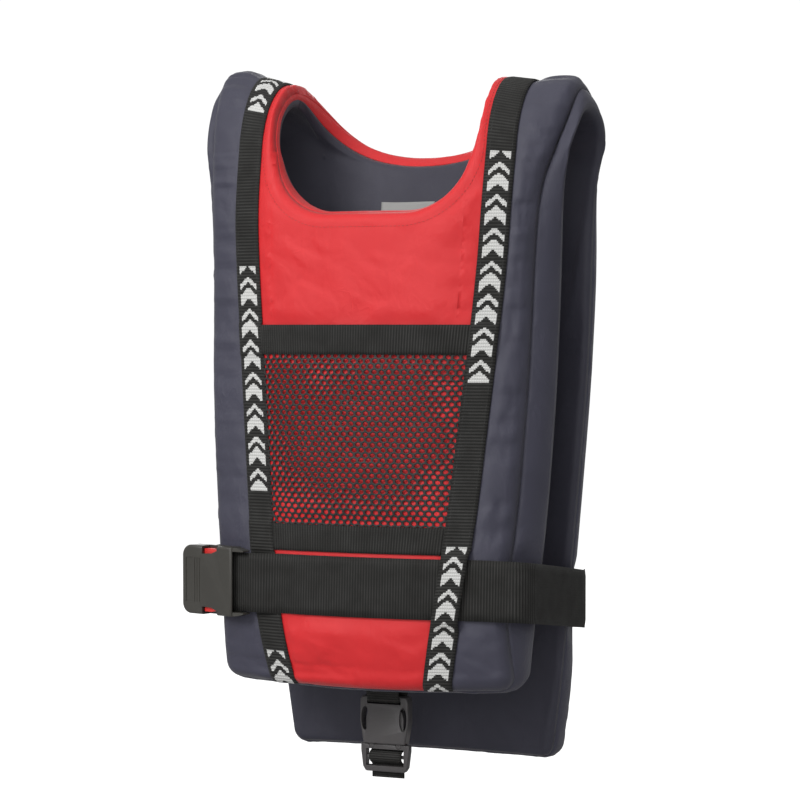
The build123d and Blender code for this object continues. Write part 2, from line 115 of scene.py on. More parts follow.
# A natural cubic spline through (x, y) points: second slopes solved as one linear system, then
# evaluated.
def cubicThrough(points, at):
    xs = np.array([p[0] for p in points])
    ys = np.array([p[1] for p in points])
    n = len(xs)
    h = np.diff(xs)
    m = np.eye(n)
    rhs = np.zeros(n)
    inner = np.arange(1, n - 1)
    m[inner, inner - 1] = h[:-1]
    m[inner, inner] = 2 * (h[:-1] + h[1:])
    m[inner, inner + 1] = h[1:]
    rhs[1:-1] = 6 * (np.diff(ys)[1:] / h[1:] - np.diff(ys)[:-1] / h[:-1])
    bend = np.linalg.solve(m, rhs)
    at = np.clip(at, xs[0], xs[-1])
    i = np.clip(np.searchsorted(xs, at) - 1, 0, n - 2)
    a = (xs[i + 1] - at) / h[i]
    b = (at - xs[i]) / h[i]
    curve = ((a ** 3 - a) * bend[i] + (b ** 3 - b) * bend[i + 1]) * h[i] ** 2 / 6
    return a * ys[i] + b * ys[i + 1] + curve


# Smooth step: 3t^2 - 2t^3 between 0 and 1.
def ease(t):
    t = np.clip(t, 0, 1)
    return t * t * (3 - 2 * t)


# Height of the hem that path place t runs down to.
def hemAt(t):
    return np.where(t < 0, padShape["front"]["hem"], padShape["back"]["hem"])


# Height of the outer profile for a path place t: -1 front hem, 0 crest, 1 back hem.
def heightAt(t):
    a = np.abs(t)
    hem = hemAt(t)
    low = pads["archZ"] + (hem - pads["archZ"]) * (a - pads["archShare"]) / (1 - pads["archShare"])
    angle = math.pi / 2 * (1 - np.minimum(a / pads["archShare"], 1))
    return np.where(a > pads["archShare"], low, pads["archZ"] + pads["crestRise"] * np.sin(angle))


# The path place t of a height z on one pad: the inverse of heightAt.
def placeAt(z, part, face="outer"):
    shape = padShape[part]
    down = (z - pads["archZ"]) / (shape["hem"] - pads["archZ"])
    low = pads["archShare"] + (1 - pads["archShare"]) * down
    rise = pads["crestRise"] if face == "outer" else pads["liningRise"]
    angle = np.arcsin(np.clip((z - pads["archZ"]) / rise, 0, 1))
    a = np.where(z < pads["archZ"], low, pads["archShare"] * (1 - angle / (math.pi / 2)))
    return shape["side"] * a


# A width from the pad tables, read at the height of path place t, blended across the crest.
def alongPads(t, key):
    z = heightAt(t)
    front = cubicThrough(padShape["front"][key], z)
    back = cubicThrough(padShape["back"][key], z)
    return front + (back - front) * ease(t / 0.1 + 0.5)


# Distance of the shoulder strap's middle from the jacket's middle at path place t.
def strapLine(t):
    return alongPads(t, "strap")


# Half width of the pad at path place t, with the hem corners rounded by circle arcs.
def edgeLine(t):
    wide = alongPads(t, "edge")
    for part in ("front", "back"):
        shape = padShape[part]
        r = shape["corner"]
        up = np.clip(r - (heightAt(t) - shape["hem"]), 0, r)
        cut = r - np.sqrt(np.maximum(r * r - up * up, 0))
        wide = np.where((t < 0) == (part == "front"), wide - cut, wide)
    return wide


# Half width of the neck edge; below the neck it runs on as a share of the strap line.
def neckLine(t):
    return np.minimum(pads["neckHalf"], pads["neckShare"] * strapLine(t))


# Distance over the shoulder from the crest, on the outer surface.
def runFromCrest(t):
    a = np.abs(t)
    hem = hemAt(t)
    low = (a - pads["archShare"]) / (1 - pads["archShare"]) * (pads["archZ"] - hem)
    return np.minimum(a / pads["archShare"], 1) * pads["archRun"] + np.maximum(low, 0)


# Path place of the back neckline, a superellipse in run and width, at a share of the neck's half
# width.
def backNeckPlace(share):
    n = pads["neckPower"]
    run = pads["backNeckRun"] * (1 - np.clip(np.abs(share), 0, 1) ** n) ** (1 / n)
    below = (run - pads["archRun"]) / (pads["archZ"] - padShape["back"]["hem"])
    low = pads["archShare"] + below * (1 - pads["archShare"])
    return np.where(run < pads["archRun"], run / pads["archRun"] * pads["archShare"], low)


# Distance from a point of the pad to its side, hem and rounded corner.
def edgeDistance(x, t):
    z = heightAt(t)
    reach = np.where(t < 0, padShape["front"]["corner"], padShape["back"]["corner"])
    hem = hemAt(t)
    toSide = alongPads(t, "edge") - np.abs(x)
    toHem = z - hem
    inCorner = reach - np.hypot(np.maximum(reach - toSide, 0), np.maximum(reach - toHem, 0))
    return np.where((toSide < reach) & (toHem < reach), inCorner, np.minimum(toSide, toHem))


# Distance from a point of the pad to the edge of the neck hole.
def neckDistance(x, t):
    ax = np.abs(x)
    dx = np.maximum(ax - pads["frontNeckFlat"], 0)
    dz = np.minimum(heightAt(t) - pads["neckTop"], 0)
    front = np.hypot(dx, dz) - pads["frontNeckRound"]
    n = pads["neckPower"]
    sx = ax / pads["neckHalf"] + 1e-6
    sr = runFromCrest(t) / pads["backNeckRun"] + 1e-6
    f = (sx ** n + sr ** n) ** (1 / n)
    slope = np.hypot(sx ** (n - 1) / pads["neckHalf"], sr ** (n - 1) / pads["backNeckRun"]) * f ** (1 - n)
    back = (f - 1) / slope
    return np.maximum(np.where(t < 0, front, back), 0)


# Depth of a quarter-circle edge of radius r at distance d from it.
def roundOff(d, r):
    near = np.clip(1 - d / r, 0, 1)
    return r * (1 - np.sqrt(1 - near ** 2))


# Smooth noise between about -1 and 1: seven sine waves in random directions, each bending the next.
def softNoise(p, seed, size):
    rng = np.random.default_rng(seed)
    total = np.zeros(p.shape[:-1])
    for wave in range(7):
        way = rng.normal(size=3)
        way *= rng.uniform(0.6, 1.5) / np.linalg.norm(way) * 2 * math.pi / size
        total = total + np.sin(p @ way + rng.uniform(0, 6.28) + 0.8 * total)
    return total / 3.5


# A point of the outer or lining surface: the profile's reach at the height, plus the plan arc's
# bend, minus sink, and over the shoulder an ellipse of the same reach up to the crest.
def padSurface(x, t, sink, face="outer"):
    x, t, sink = np.broadcast_arrays(np.asarray(x, float), np.asarray(t, float), np.asarray(sink, float))
    a = np.abs(t)
    outward = face == "outer"
    radius = pads["outerBend"] if outward else pads["innerBend"]
    bend = (pads["profileX"] ** 2 - x ** 2) / (2 * radius)
    move = -sink if outward else sink
    hem = hemAt(t)
    z = pads["archZ"] + (hem - pads["archZ"]) * (a - pads["archShare"]) / (1 - pads["archShare"])
    z = np.minimum(z, pads["archZ"])
    front = cubicThrough(padShape["front"][face], z)
    back = cubicThrough(padShape["back"][face], z)
    reach = np.where(t < 0, front, back) + bend + move
    angle = math.pi / 2 * (1 - np.minimum(a / pads["archShare"], 1))
    lift = pads["crestLift"] * ease((np.abs(x) - 0.112) / 0.033) if outward else 0
    rise = (pads["crestRise"] + lift if outward else pads["liningRise"]) + move
    y = np.sign(t) * reach * np.cos(angle)
    up = z + rise * np.sin(angle)
    return settled(x, y, up, t)


# How the jacket hangs, as small smooth shifts of a pad point: the shoulders lean back, the sides
# spread above the belt, the armhole side is lower on the right, and the front hem rises towards its
# corners.
def settled(x, y, z, t):
    lean = hang["lean"] * ease((z + 0.11) / 0.12)
    side = ease((np.abs(x) - strapLine(t) - 0.008) / 0.035)
    high = ease((z + 0.08) / 0.09)
    wide = np.where(x > 0, hang["spreadRight"] + 0.006 * high, hang["spreadLeft"] - 0.001 * high)
    spread = wide * side * ease((z + 0.47) / 0.25)
    outer = np.where(x > 0, ease((x - 0.100) / 0.045), ease((-x - 0.09) / 0.04))
    drop = ease((z + 0.07) / 0.08) * outer * np.where(x > 0, hang["rightDrop"], -hang["leftRise"])
    hem = hang["hemRise"] * (x / 0.13) ** 2 * ease((-0.42 - z) / 0.07) * (t < 0)
    neck = 1 - ease((np.abs(x) - 0.0885) / 0.012)
    spread = spread + hang["neckOpen"] * neck * ease((z + 0.06) / 0.05) * ease(np.abs(x) / 0.08)
    return np.stack([x + np.sign(x) * spread, y + lean, z - drop + hem], axis=-1)


webbing = {
    "strapWidth": 0.025,
    "beltWidth": 0.050,
    "crotchWidth": 0.030,
    "strapThick": 0.0015,
    "beltThick": 0.0020,
    "ribPitch": 0.0027,
    "beltRib": 0.0024,
    "ribHeight": 0.00035,
    "beltZ": -0.408,
    "beltDrop": 0.022,       # how much lower the belt lies on the back
    "strapFront": -0.4935,   # height of the straps' front ends
    "strapBack": -0.5635,
    "mouthBandZ": -0.2025,   # middle heights of the pocket's bands
    "footBandZ": -0.369,
}

hang = {
    "lean": 0.012,           # shoulders lean back by this much at the top
    "spreadLeft": 0.009,
    "spreadRight": 0.006,
    "rightDrop": 0.012,
    "leftRise": 0.004,
    "hemRise": 0.003,
    "neckOpen": 0.006,       # the neck hole is this much wider on each side at the shoulders
    "liningDrop": 0.008,     # the lining's edge lies this much lower at the back of the neck
}

looks = {
    "edgePuff": 0.003,       # how far the filled panels stand out between their seams
    "strapValley": 0.0022,   # how deep the sewn webbing pulls the panels in
    "valleyHalf": 0.022,
    "fold": 0.0023,          # height of the soft folds in the panels
    "sideLean": 0.007,       # how much narrower the outer face is than the lining side
    "rightLean": 0.009,      # and how much more on the front's right side
}


# 1 where the belt or a pocket band holds the panel down, easing off over a few millimetres.
def pressedFlat(x, t):
    z = heightAt(t)
    beltMiddle = np.where(t < 0, webbing["beltZ"], webbing["beltZ"] - webbing["beltDrop"])
    belt = ease((0.042 - np.abs(z - beltMiddle)) / 0.018)
    between = ease((strapLine(t) - np.abs(x)) / 0.01) * (t < 0)
    foot = ease((0.026 - np.abs(z - webbing["footBandZ"])) / 0.014) * between
    mouth = ease((0.026 - np.abs(z - webbing["mouthBandZ"])) / 0.014) * between
    return np.maximum(belt, np.maximum(foot, 0.6 * mouth))


# How far the outer surface lies in from the pad's full shape: round edges, valleys at the straps,
# puff.
def outerSink(x, t):
    edge = edgeDistance(x, t)
    neck = neckDistance(x, t)
    strap = np.abs(np.abs(x) - strapLine(t))
    sink = roundOff(edge, pads["edgeRound"]) + roundOff(neck, 0.009)
    valley = 1 - ease(strap / looks["valleyHalf"])
    puff = ease(np.minimum(edge, 0.05) / 0.05) * ease(strap / 0.045)
    quilt = looks["strapValley"] * valley - looks["edgePuff"] * puff
    quilt = quilt + (np.maximum(quilt, -0.0002) - quilt) * pressedFlat(x, t)
    return sink + quilt + 0.001


# Unit normal of a surface function by small steps in x and t, pointing out of the foam.
def surfaceNormal(fn, x, t):
    stepX, stepT = 0.0008, 0.0012
    alongX = fn(x + stepX, t) - fn(x - stepX, t)
    alongT = fn(x, t + stepT) - fn(x, t - stepT)
    n = np.cross(alongX, alongT)
    return n / np.linalg.norm(n, axis=-1, keepdims=True)


# The outer surface with its round edges and valleys, before folds; its sides lean in.
def outerSkin(x, t):
    points = padSurface(x, t, outerSink(x, t))
    start = strapLine(t) + 0.012
    lean = looks["sideLean"] + looks["rightLean"] * ease((x - 0.05) / 0.05) * ease(-t / 0.22)
    lean = lean * ease((np.abs(x) - start) / (alongPads(t, "edge") - start))
    points[..., 0] -= np.sign(x) * lean * ease((heightAt(t) + 0.52) / 0.12)
    return points


# The outer skin with soft folds: broad noise everywhere, creases across the shoulders, and short
# puckers where the cloth is gathered at the side seams and beside the straps.
def foldedSkin(x, t):
    base = outerSkin(x, t)
    p = np.stack([x, heightAt(t), np.sign(t) * 0.2 * np.ones_like(x)], axis=-1)
    run = np.stack([0 * x + 0.1 * np.sign(x), runFromCrest(t) * np.sign(t), 0 * x], axis=-1)
    strap = np.abs(np.abs(x) - strapLine(t))
    edge = edgeDistance(x, t)
    calm = ease((strap - 0.010) / 0.014) * ease(edge / 0.02) * ease(neckDistance(x, t) / 0.02)
    broad = softNoise(p * [1.0, 0.55, 1], 3, 0.085)
    small = softNoise(p * [0.8, 1.6, 1], 8, 0.026)
    crest = np.exp(-(t / 0.16) ** 2)
    across = softNoise(p * [0.35, 2.2, 1] + [0, 0, 0.3], 21, 0.045)
    folds = calm * (0.55 * broad + 0.20 * small + 0.9 * crest * across)
    gather = softNoise(run, 51, 0.022) + 0.5 * softNoise(run, 52, 0.012)
    atEdge = np.exp(-((edge - 0.010) / 0.012) ** 2) * ease(edge / 0.006)
    atStrap = np.exp(-((strap - 0.019) / 0.008) ** 2) * ease((strap - 0.0125) / 0.004)
    height = looks["fold"] * (folds + 0.45 * gather * atEdge + 0.30 * gather * atStrap)
    height = height * (1 - pressedFlat(x, t))
    return base + surfaceNormal(outerSkin, x, t) * height[..., None]


# The lining surface with its own small round edges.
def liningSkin(x, t, edge, neck):
    sink = roundOff(edge, pads["liningRound"]) + roundOff(neck, pads["liningRound"])
    points = padSurface(x, t, sink, "inner")
    points[..., 2] -= hang["liningDrop"] * ease(1 - neck / 0.03) * ease(t / 0.07)
    return points


# Four corners of every cell in grids of vertex numbers.
def quadsOf(index):
    return np.stack([index[..., :-1, :-1], index[..., :-1, 1:], index[..., 1:, 1:], index[..., 1:, :-1]], -1)


# A smooth object in the scene from points and faces, with two UV values per face corner if given.
def newObject(name, points, faces, uv=None):
    mesh = bpy.data.meshes.new(name)
    mesh.from_pydata(points.tolist(), [], faces)
    if uv is not None:
        layer = mesh.uv_layers.new(name="cloth")
        layer.data.foreach_set("uv", uv.astype(np.float32).ravel())
    mesh.polygons.foreach_set("use_smooth", np.ones(len(faces), bool))
    obj = bpy.data.objects.new(name, mesh)
    bpy.context.scene.collection.objects.link(obj)
    return obj


# Runs one edit on an object's mesh.
def edited(obj, edit):
    bm = bmesh.new()
    bm.from_mesh(obj.data)
    edit(bm)
    bm.to_mesh(obj.data)
    bm.free()


# Merges vertices closer than a distance.
def mergeClose(obj, distance):
    edited(obj, lambda bm: bmesh.ops.remove_doubles(bm, verts=bm.verts, dist=distance))


# One mesh from point grids (rows x columns x 3) with UVs in metres; shared borders are merged.
def meshFromGrids(name, grids, merge=2e-5):
    verts, faces, uvs = [], [], []
    start = 0
    for points, uv, inside in grids:
        rows, cols = points.shape[:2]
        index = start + np.arange(rows * cols).reshape(rows, cols)
        quad = quadsOf(index)
        du = points[:-1, 1:] - points[:-1, :-1]
        dv = points[1:, :-1] - points[:-1, :-1]
        outward = points[:-1, :-1] - inside[:-1, :-1]
        facing = np.sum(np.cross(du, dv) * outward)
        if facing < 0:
            quad = quad[..., ::-1]
        quad = quad.reshape(-1, 4)
        verts.append(points.reshape(-1, 3))
        faces.append(quad)
        uvs.append(uv.reshape(-1, 2)[quad.reshape(-1) - start])
        start += rows * cols
    verts = np.concatenate(verts)
    faces = np.concatenate(faces)
    obj = newObject(name, verts, faces.tolist(), np.concatenate(uvs))
    mergeClose(obj, merge)
    return obj


# Gives a sheet its thickness inwards.
def thicken(obj, thickness):
    solid = obj.modifiers.new("thickness", "SOLIDIFY")
    solid.thickness = thickness
    solid.offset = -1
    return obj


# Distance run along the first axis of a point grid.
def runLength(points):
    step = np.linalg.norm(np.diff(points, axis=0), axis=-1)
    return np.concatenate([np.zeros((1,) + step.shape[1:]), np.cumsum(step, axis=0)], axis=0)


# UVs in metres from the run across and along a grid.
def clothUv(points):
    along = runLength(points)
    across = np.swapaxes(runLength(np.swapaxes(points, 0, 1)), 0, 1)
    return np.stack([across, np.repeat(along[:, :1], points.shape[1], axis=1)], axis=-1)


# Webbing between two edge curves: a flat loop of points with rounded edges is carried along them.
# Ribs across the webbing are a raised cosine of the run; both faces carry them.
def ribbon(name, upper, lower, normal, thickness, ribPitch, ribHeight, acrossCount=9):
    mid = (upper + lower) / 2
    run = runLength(mid[:, None])[:, 0]
    w = np.linspace(0, 1, acrossCount)
    flatPart = upper[:, None] * (1 - w)[None, :, None] + lower[:, None] * w[None, :, None]
    edgeThin = 1 - 0.55 * np.clip(np.abs(w - 0.5) * 2 - 0.90, 0, 1) / 0.10
    rib = ribHeight * (0.5 - 0.5 * np.cos(run / ribPitch * 2 * math.pi))
    half = thickness / 2 * edgeThin[None, :]
    half = half + rib[:, None] * np.minimum(edgeThin, 1)[None, :] - ribHeight / 2
    top = flatPart + normal[:, None] * (thickness / 2 + half)[..., None]
    bottom = flatPart + normal[:, None] * (thickness / 2 - half)[..., None]
    width = np.linalg.norm(upper - lower, axis=-1).mean()
    loop = np.concatenate([top, bottom[:, ::-1], top[:, :1]], axis=1)
    u = np.concatenate([w, w[::-1], w[:1]]) * width
    shape = loop.shape[:2]
    uv = np.stack([np.broadcast_to(u[None], shape), np.broadcast_to(run[:, None], shape)], axis=-1)
    centre = np.broadcast_to((flatPart.mean(axis=1) + normal * thickness / 2)[:, None], loop.shape)
    grids = [(loop, uv, centre)]
    for end, back in ((0, 1), (-1, -2)):
        cap = np.stack([top[end], bottom[end]])
        shape = cap.shape[:2]
        capUv = np.stack([np.broadcast_to(w * width, shape), np.zeros(shape)], axis=-1)
        grids.append((cap, capUv, np.broadcast_to(centre[back][0], cap.shape)))
    return meshFromGrids(name, grids, 1e-6)


# The padded covers
grain = {
    "neckCols": 40,          # half of the centre panel's columns
    "sideCols": 8,           # neck edge to strap
    "panelCols": 26,         # strap to side
    "frontRows": 145,
    "shoulderRows": 26,
    "backRows": 165,
    "rimCols": 11,
}


# n + 1 values from 0 to 1, closer together at both ends.
def closeTo(n, power=1.0):
    k = np.linspace(0, 1, n + 1)
    return k + power * 0.5 * (0.5 - 0.5 * np.cos(math.pi * k) - k)


frontSteps = closeTo(grain["frontRows"])
tNeck = float(placeAt(pads["neckTop"], "front"))
lowRows = -1 + (tNeck + 1) * frontSteps
archRows = tNeck * (1 - np.linspace(0, 1, grain["shoulderRows"] + 1))
backSteps = closeTo(grain["backRows"])
allRows = np.concatenate([lowRows, archRows[1:], backSteps[1:]])


# Widths and places of the centre block: columns share out the neck line, rows run hem to neckline.
def centreGrid(part):
    half = np.sin(np.linspace(0, math.pi / 2, grain["neckCols"] + 1))
    c = np.concatenate([-half[::-1], half[1:]])
    if part == "front":
        over = np.clip(np.abs(c) * pads["neckHalf"] - pads["frontNeckFlat"], 0, pads["frontNeckRound"])
        top = placeAt(pads["neckTop"] - np.sqrt(pads["frontNeckRound"] ** 2 - over ** 2), "front")
        top = np.where(np.abs(c) > 0.9999, tNeck, top)
        t = -1 + (top + 1)[None] * frontSteps[:, None]
    else:
        top = backNeckPlace(c)
        t = top[None] + (1 - top)[None] * backSteps[:, None]
    return c[None] * neckLine(t), t


# Widths and places of a band between two lines, over the given rows.
def bandGrid(rows, side, low, high, cols):
    share = closeTo(cols) if cols > 12 else np.linspace(0, 1, cols + 1)
    inner, outer = low(rows)[:, None], high(rows)[:, None]
    x = inner + (outer - inner) * share[None]
    return side * x, np.broadcast_to(rows[:, None], x.shape)


# A point well inside the foam beside a surface point.
def insideOf(x, t):
    return padSurface(x * 0.97, t * 0.985, 0.02 + 0 * x)


# A patch of the outer cover.
def panelGrid(x, t):
    points = foldedSkin(x, t)
    return points, clothUv(points), insideOf(x, t)


# Red centre panel with its shoulder strips, and the two navy side panels, front hem to back hem.
def makeOuterPanels():
    patches = [panelGrid(*centreGrid("front")), panelGrid(*centreGrid("back"))]
    for side in (-1, 1):
        patches.append(panelGrid(*bandGrid(allRows, side, neckLine, strapLine, grain["sideCols"])))
    centre = thicken(meshFromGrids("centrePanel", patches), pads["cloth"])
    made = [centre]
    for side, word in ((-1, "Left"), (1, "Right")):
        patch = panelGrid(*bandGrid(allRows, side, strapLine, edgeLine, grain["panelCols"]))
        made.append(thicken(meshFromGrids("sidePanel" + word, [patch]), pads["cloth"]))
    return made


# The pads' outer boundary, right side, as widths and places: front hem, side and back hem.
def outlinePath():
    frontX, frontT = centreGrid("front")
    backX, backT = centreGrid("back")
    mid = grain["neckCols"]
    parts = [(frontX[0, mid:], frontT[0, mid:])]
    strips = ((neckLine, strapLine, grain["sideCols"]), (strapLine, edgeLine, grain["panelCols"]))
    for low, high, cols in strips:
        x, t = bandGrid(allRows[:1], 1, low, high, cols)
        parts.append((x[0, 1:], t[0, 1:]))
    parts.append((edgeLine(allRows[1:-1]), allRows[1:-1]))
    for low, high, cols in strips[::-1]:
        x, t = bandGrid(allRows[-1:], 1, low, high, cols)
        parts.append((x[0, ::-1][:-1], t[0, ::-1][:-1]))
    parts.append((backX[-1, mid:][::-1], backT[-1, mid:][::-1]))
    x = np.concatenate([p[0] for p in parts])
    t = np.concatenate([p[1] for p in parts])
    return np.concatenate([x, -x[::-1][1:-1], x[:1]]), np.concatenate([t, t[::-1][1:-1], t[:1]])


# The neck hole's boundary as widths and places: front neckline, right shoulder, back neckline,
# left.
def neckPath():
    frontX, frontT = centreGrid("front")
    backX, backT = centreGrid("back")
    x = [frontX[-1], neckLine(archRows[1:]), backX[0, ::-1][1:], -neckLine(archRows[::-1][1:])]
    t = [frontT[-1], archRows[1:], backT[0, ::-1][1:], archRows[::-1][1:]]
    return np.concatenate(x), np.concatenate(t)


# The strip between the outer cover's edge and the lining's edge: straight across plus a sine bulge,
# with short puckers at its seams. towards is 1 away from the pad and -1 for the neck hole.
def rimStrip(name, x, t, bulge, pucker, towards):
    outer = foldedSkin(x, t)
    edge, neck = edgeDistance(x, t), neckDistance(x, t)
    inner = liningSkin(x, t, edge, neck)
    along = np.roll(outer, -1, axis=0) - np.roll(outer, 1, axis=0)
    along[0] = along[-1] = outer[1] - outer[-2]
    out = np.cross(along, inner - outer)
    out /= np.linalg.norm(out, axis=-1, keepdims=True) + 1e-12
    middle = np.array([0, 0, -0.28 if towards > 0 else 0.0])
    flatOut = (outer + inner) / 2 - middle
    flatOut[:, 1] = 0
    out *= np.sign(np.sum(out * flatOut, axis=-1, keepdims=True)) * towards
    w = np.linspace(0, 1, grain["rimCols"])[None, :, None]
    points = outer[:, None] * (1 - w) + inner[:, None] * w
    deep = np.linalg.norm(inner - outer, axis=-1)[:, None]
    p = points * [1, 0.25, 1]
    fold = softNoise(p, 31, 0.016) * 0.6 + softNoise(p, 32, 0.045)
    seam = np.exp(-(w[..., 0] / 0.22) ** 2) + np.exp(-((1 - w[..., 0]) / 0.22) ** 2)
    arch = np.sin(math.pi * w[..., 0])
    height = bulge * arch ** 0.7 * deep / 0.04 + pucker * fold * seam * arch ** 0.5
    height = height * (1 - 0.75 * pressedFlat(x, t))[:, None]
    points = points + out[:, None] * height[..., None]
    inside = (outer + inner)[:, None] / 2 - out[:, None] * 0.02 + 0 * points
    run = runLength(outer[:, None])[:, 0]
    shape = points.shape[:2]
    uv = np.stack([np.broadcast_to(w[..., 0] * 0.04, shape), np.broadcast_to(run[:, None], shape)], -1)
    return thicken(meshFromGrids(name, [(points, uv, inside)]), pads["cloth"])


# The lining surface with broad soft waves, calm at its edges.
def liningCloth(x, t):
    edge, neck = edgeDistance(x, t), neckDistance(x, t)
    points = liningSkin(x, t, edge, neck)
    n = surfaceNormal(lambda a, b: padSurface(a, b, 0 * a, "inner"), x, t)
    calm = ease(edge / 0.02) * ease(neck / 0.02)
    return points - n * (0.0014 * calm * softNoise(points * [1.0, 0.4, 0.6], 44, 0.07))[..., None]


# The lining of both pads, continuous over the shoulders.
def makeLining():
    places = [centreGrid("front"), centreGrid("back")]
    for side in (-1, 1):
        places.append(bandGrid(allRows, side, neckLine, strapLine, grain["sideCols"]))
        places.append(bandGrid(allRows, side, strapLine, edgeLine, grain["panelCols"]))
    grids = []
    for x, t in places:
        points = liningCloth(x, t)
        grids.append((points, clothUv(points), padSurface(x, t, 0.02 + 0 * x, "inner")))
    return thicken(meshFromGrids("liningCloth", grids), pads["cloth"])


centrePanel, sideLeft, sideRight = makeOuterPanels()
gusset = rimStrip("gussetStrip", *outlinePath(), bulge=0.0045, pucker=0.0013, towards=1)
neckEdging = rimStrip("neckEdging", *neckPath(), bulge=0.0030, pucker=0.0007, towards=-1)
lining = makeLining()
print("covers made")

# A point on the calm outer skin, raised by lift.
def onSkin(x, t, lift):
    return outerSkin(x, t) + surfaceNormal(outerSkin, x, t) * np.asarray(lift)[..., None]


# Height of a strap over the skin: it steps over the pocket bands, and the right one over the belt.
def strapLift(t, side):
    z = heightAt(t)
    front = t < 0
    mouth = ease((0.0155 - np.abs(z - webbing["mouthBandZ"])) / 0.003)
    bands = mouth + ease((0.0143 - np.abs(z + 0.3688)) / 0.003)
    lift = 0.0002 + 0.0012 * bands * front
    if side > 0:
        lift = np.maximum(lift, 0.0060 * ease((0.037 - np.abs(z - webbing["beltZ"])) / 0.012) * front)
    return lift


# Half width in x that gives a strap its true width on the skin, which leans and spreads.
def strapHalf(t, side):
    half = webbing["strapWidth"] / 2
    x = strapLine(t)
    wide = np.linalg.norm(outerSkin(side * (x + half), t) - outerSkin(side * (x - half), t), axis=-1)
    return half * webbing["strapWidth"] / wide


# A shoulder strap from the front hem over the crest to the back hem.
def makeStrap(side, name):
    rows = np.linspace(placeAt(webbing["strapFront"], "front"), placeAt(webbing["strapBack"], "back"), 2700)
    half = strapHalf(rows, side)
    lift = strapLift(rows, side)
    x = strapLine(rows)
    inner = onSkin(side * (x - half), rows, lift)
    outer = onSkin(side * (x + half), rows, lift)
    centre = onSkin(side * x, rows, lift)
    normal = surfaceNormal(outerSkin, side * x, rows)
    mid = (inner + outer) / 2
    rise = np.maximum(np.sum((centre - mid) * normal, axis=-1), 0)[:, None] * normal
    return ribbon(name, inner + rise, outer + rise, normal, webbing["strapThick"], webbing["ribPitch"],
                  webbing["ribHeight"])


strapLeft = makeStrap(-1, "shoulderStrapLeft")
strapRight = makeStrap(1, "shoulderStrapRight")
print("straps made")


# Length run up to each point, and evenly spaced lengths along the whole.
def chordOf(spots, step):
    chord = np.concatenate([[0], np.cumsum(np.linalg.norm(np.diff(spots, axis=0), axis=1))])
    return chord, np.linspace(0, chord[-1], int(chord[-1] / step) + 1)


# A spline through plan or section points, sampled every step: each coordinate is a cubic of chord
# length.
def smoothPath(spots, step):
    spots = np.array(spots)
    chord, at = chordOf(spots, step)
    return np.stack([cubicThrough(list(zip(chord, spots[:, k])), at) for k in (0, 1)], axis=-1)


# A rounded path that stays inside its corners: each round replaces a corner by two points.
def cutCorners(spots, step, rounds=4):
    spots = np.array(spots)
    for _ in range(rounds):
        near = spots[:-1] * 0.75 + spots[1:] * 0.25
        far = spots[:-1] * 0.25 + spots[1:] * 0.75
        between = np.stack([near, far], axis=1).reshape(-1, 2)
        spots = np.concatenate([spots[:1], between, spots[-1:]])
    chord, at = chordOf(spots, step)
    return np.stack([np.interp(at, chord, spots[:, k]) for k in (0, 1)], axis=-1)


# How far the full outer surface of a pad stands from the middle plane at a width and height.
def padReach(part, x, z):
    bend = (pads["profileX"] ** 2 - x ** 2) / (2 * pads["outerBend"])
    return cubicThrough(padShape[part]["outer"], z) + bend


beltBuckle = {
    "turn": 15,              # degrees round the side
    "x": -0.110,
    "y": -0.0837,
    "bar": (0.0514, -0.0008),
    "barRound": 0.00275,     # radius of the webbing round the bar
}


# Plan place of a point in the belt buckle's frame, by rotation through its turn.
def buckleSpot(along, out):
    turn = math.radians(beltBuckle["turn"])
    x = beltBuckle["x"] - along * math.cos(turn) - out * math.sin(turn)
    return x, beltBuckle["y"] + along * math.sin(turn) - out * math.cos(turn)


# Webbing standing on edge along a plan path: height z at its middle, its edges moved in y by lean.
def upright(name, path, z, thickness, lean=0, rib=1.0):
    n = len(path)
    way = np.gradient(path, axis=0)
    normal = np.stack([way[:, 1], -way[:, 0], np.zeros(n)], axis=-1)
    normal /= np.linalg.norm(normal, axis=1, keepdims=True)
    half = webbing["beltWidth"] / 2
    z = np.broadcast_to(z, n)
    leanUp, leanLow = (lean if lean else (0, 0))
    upper = np.stack([path[:, 0], path[:, 1] + leanUp, z + half], axis=-1)
    lower = np.stack([path[:, 0], path[:, 1] + leanLow, z - half], axis=-1)
    return ribbon(name, upper, lower, normal, thickness, webbing["beltRib"], webbing["ribHeight"] * rib)


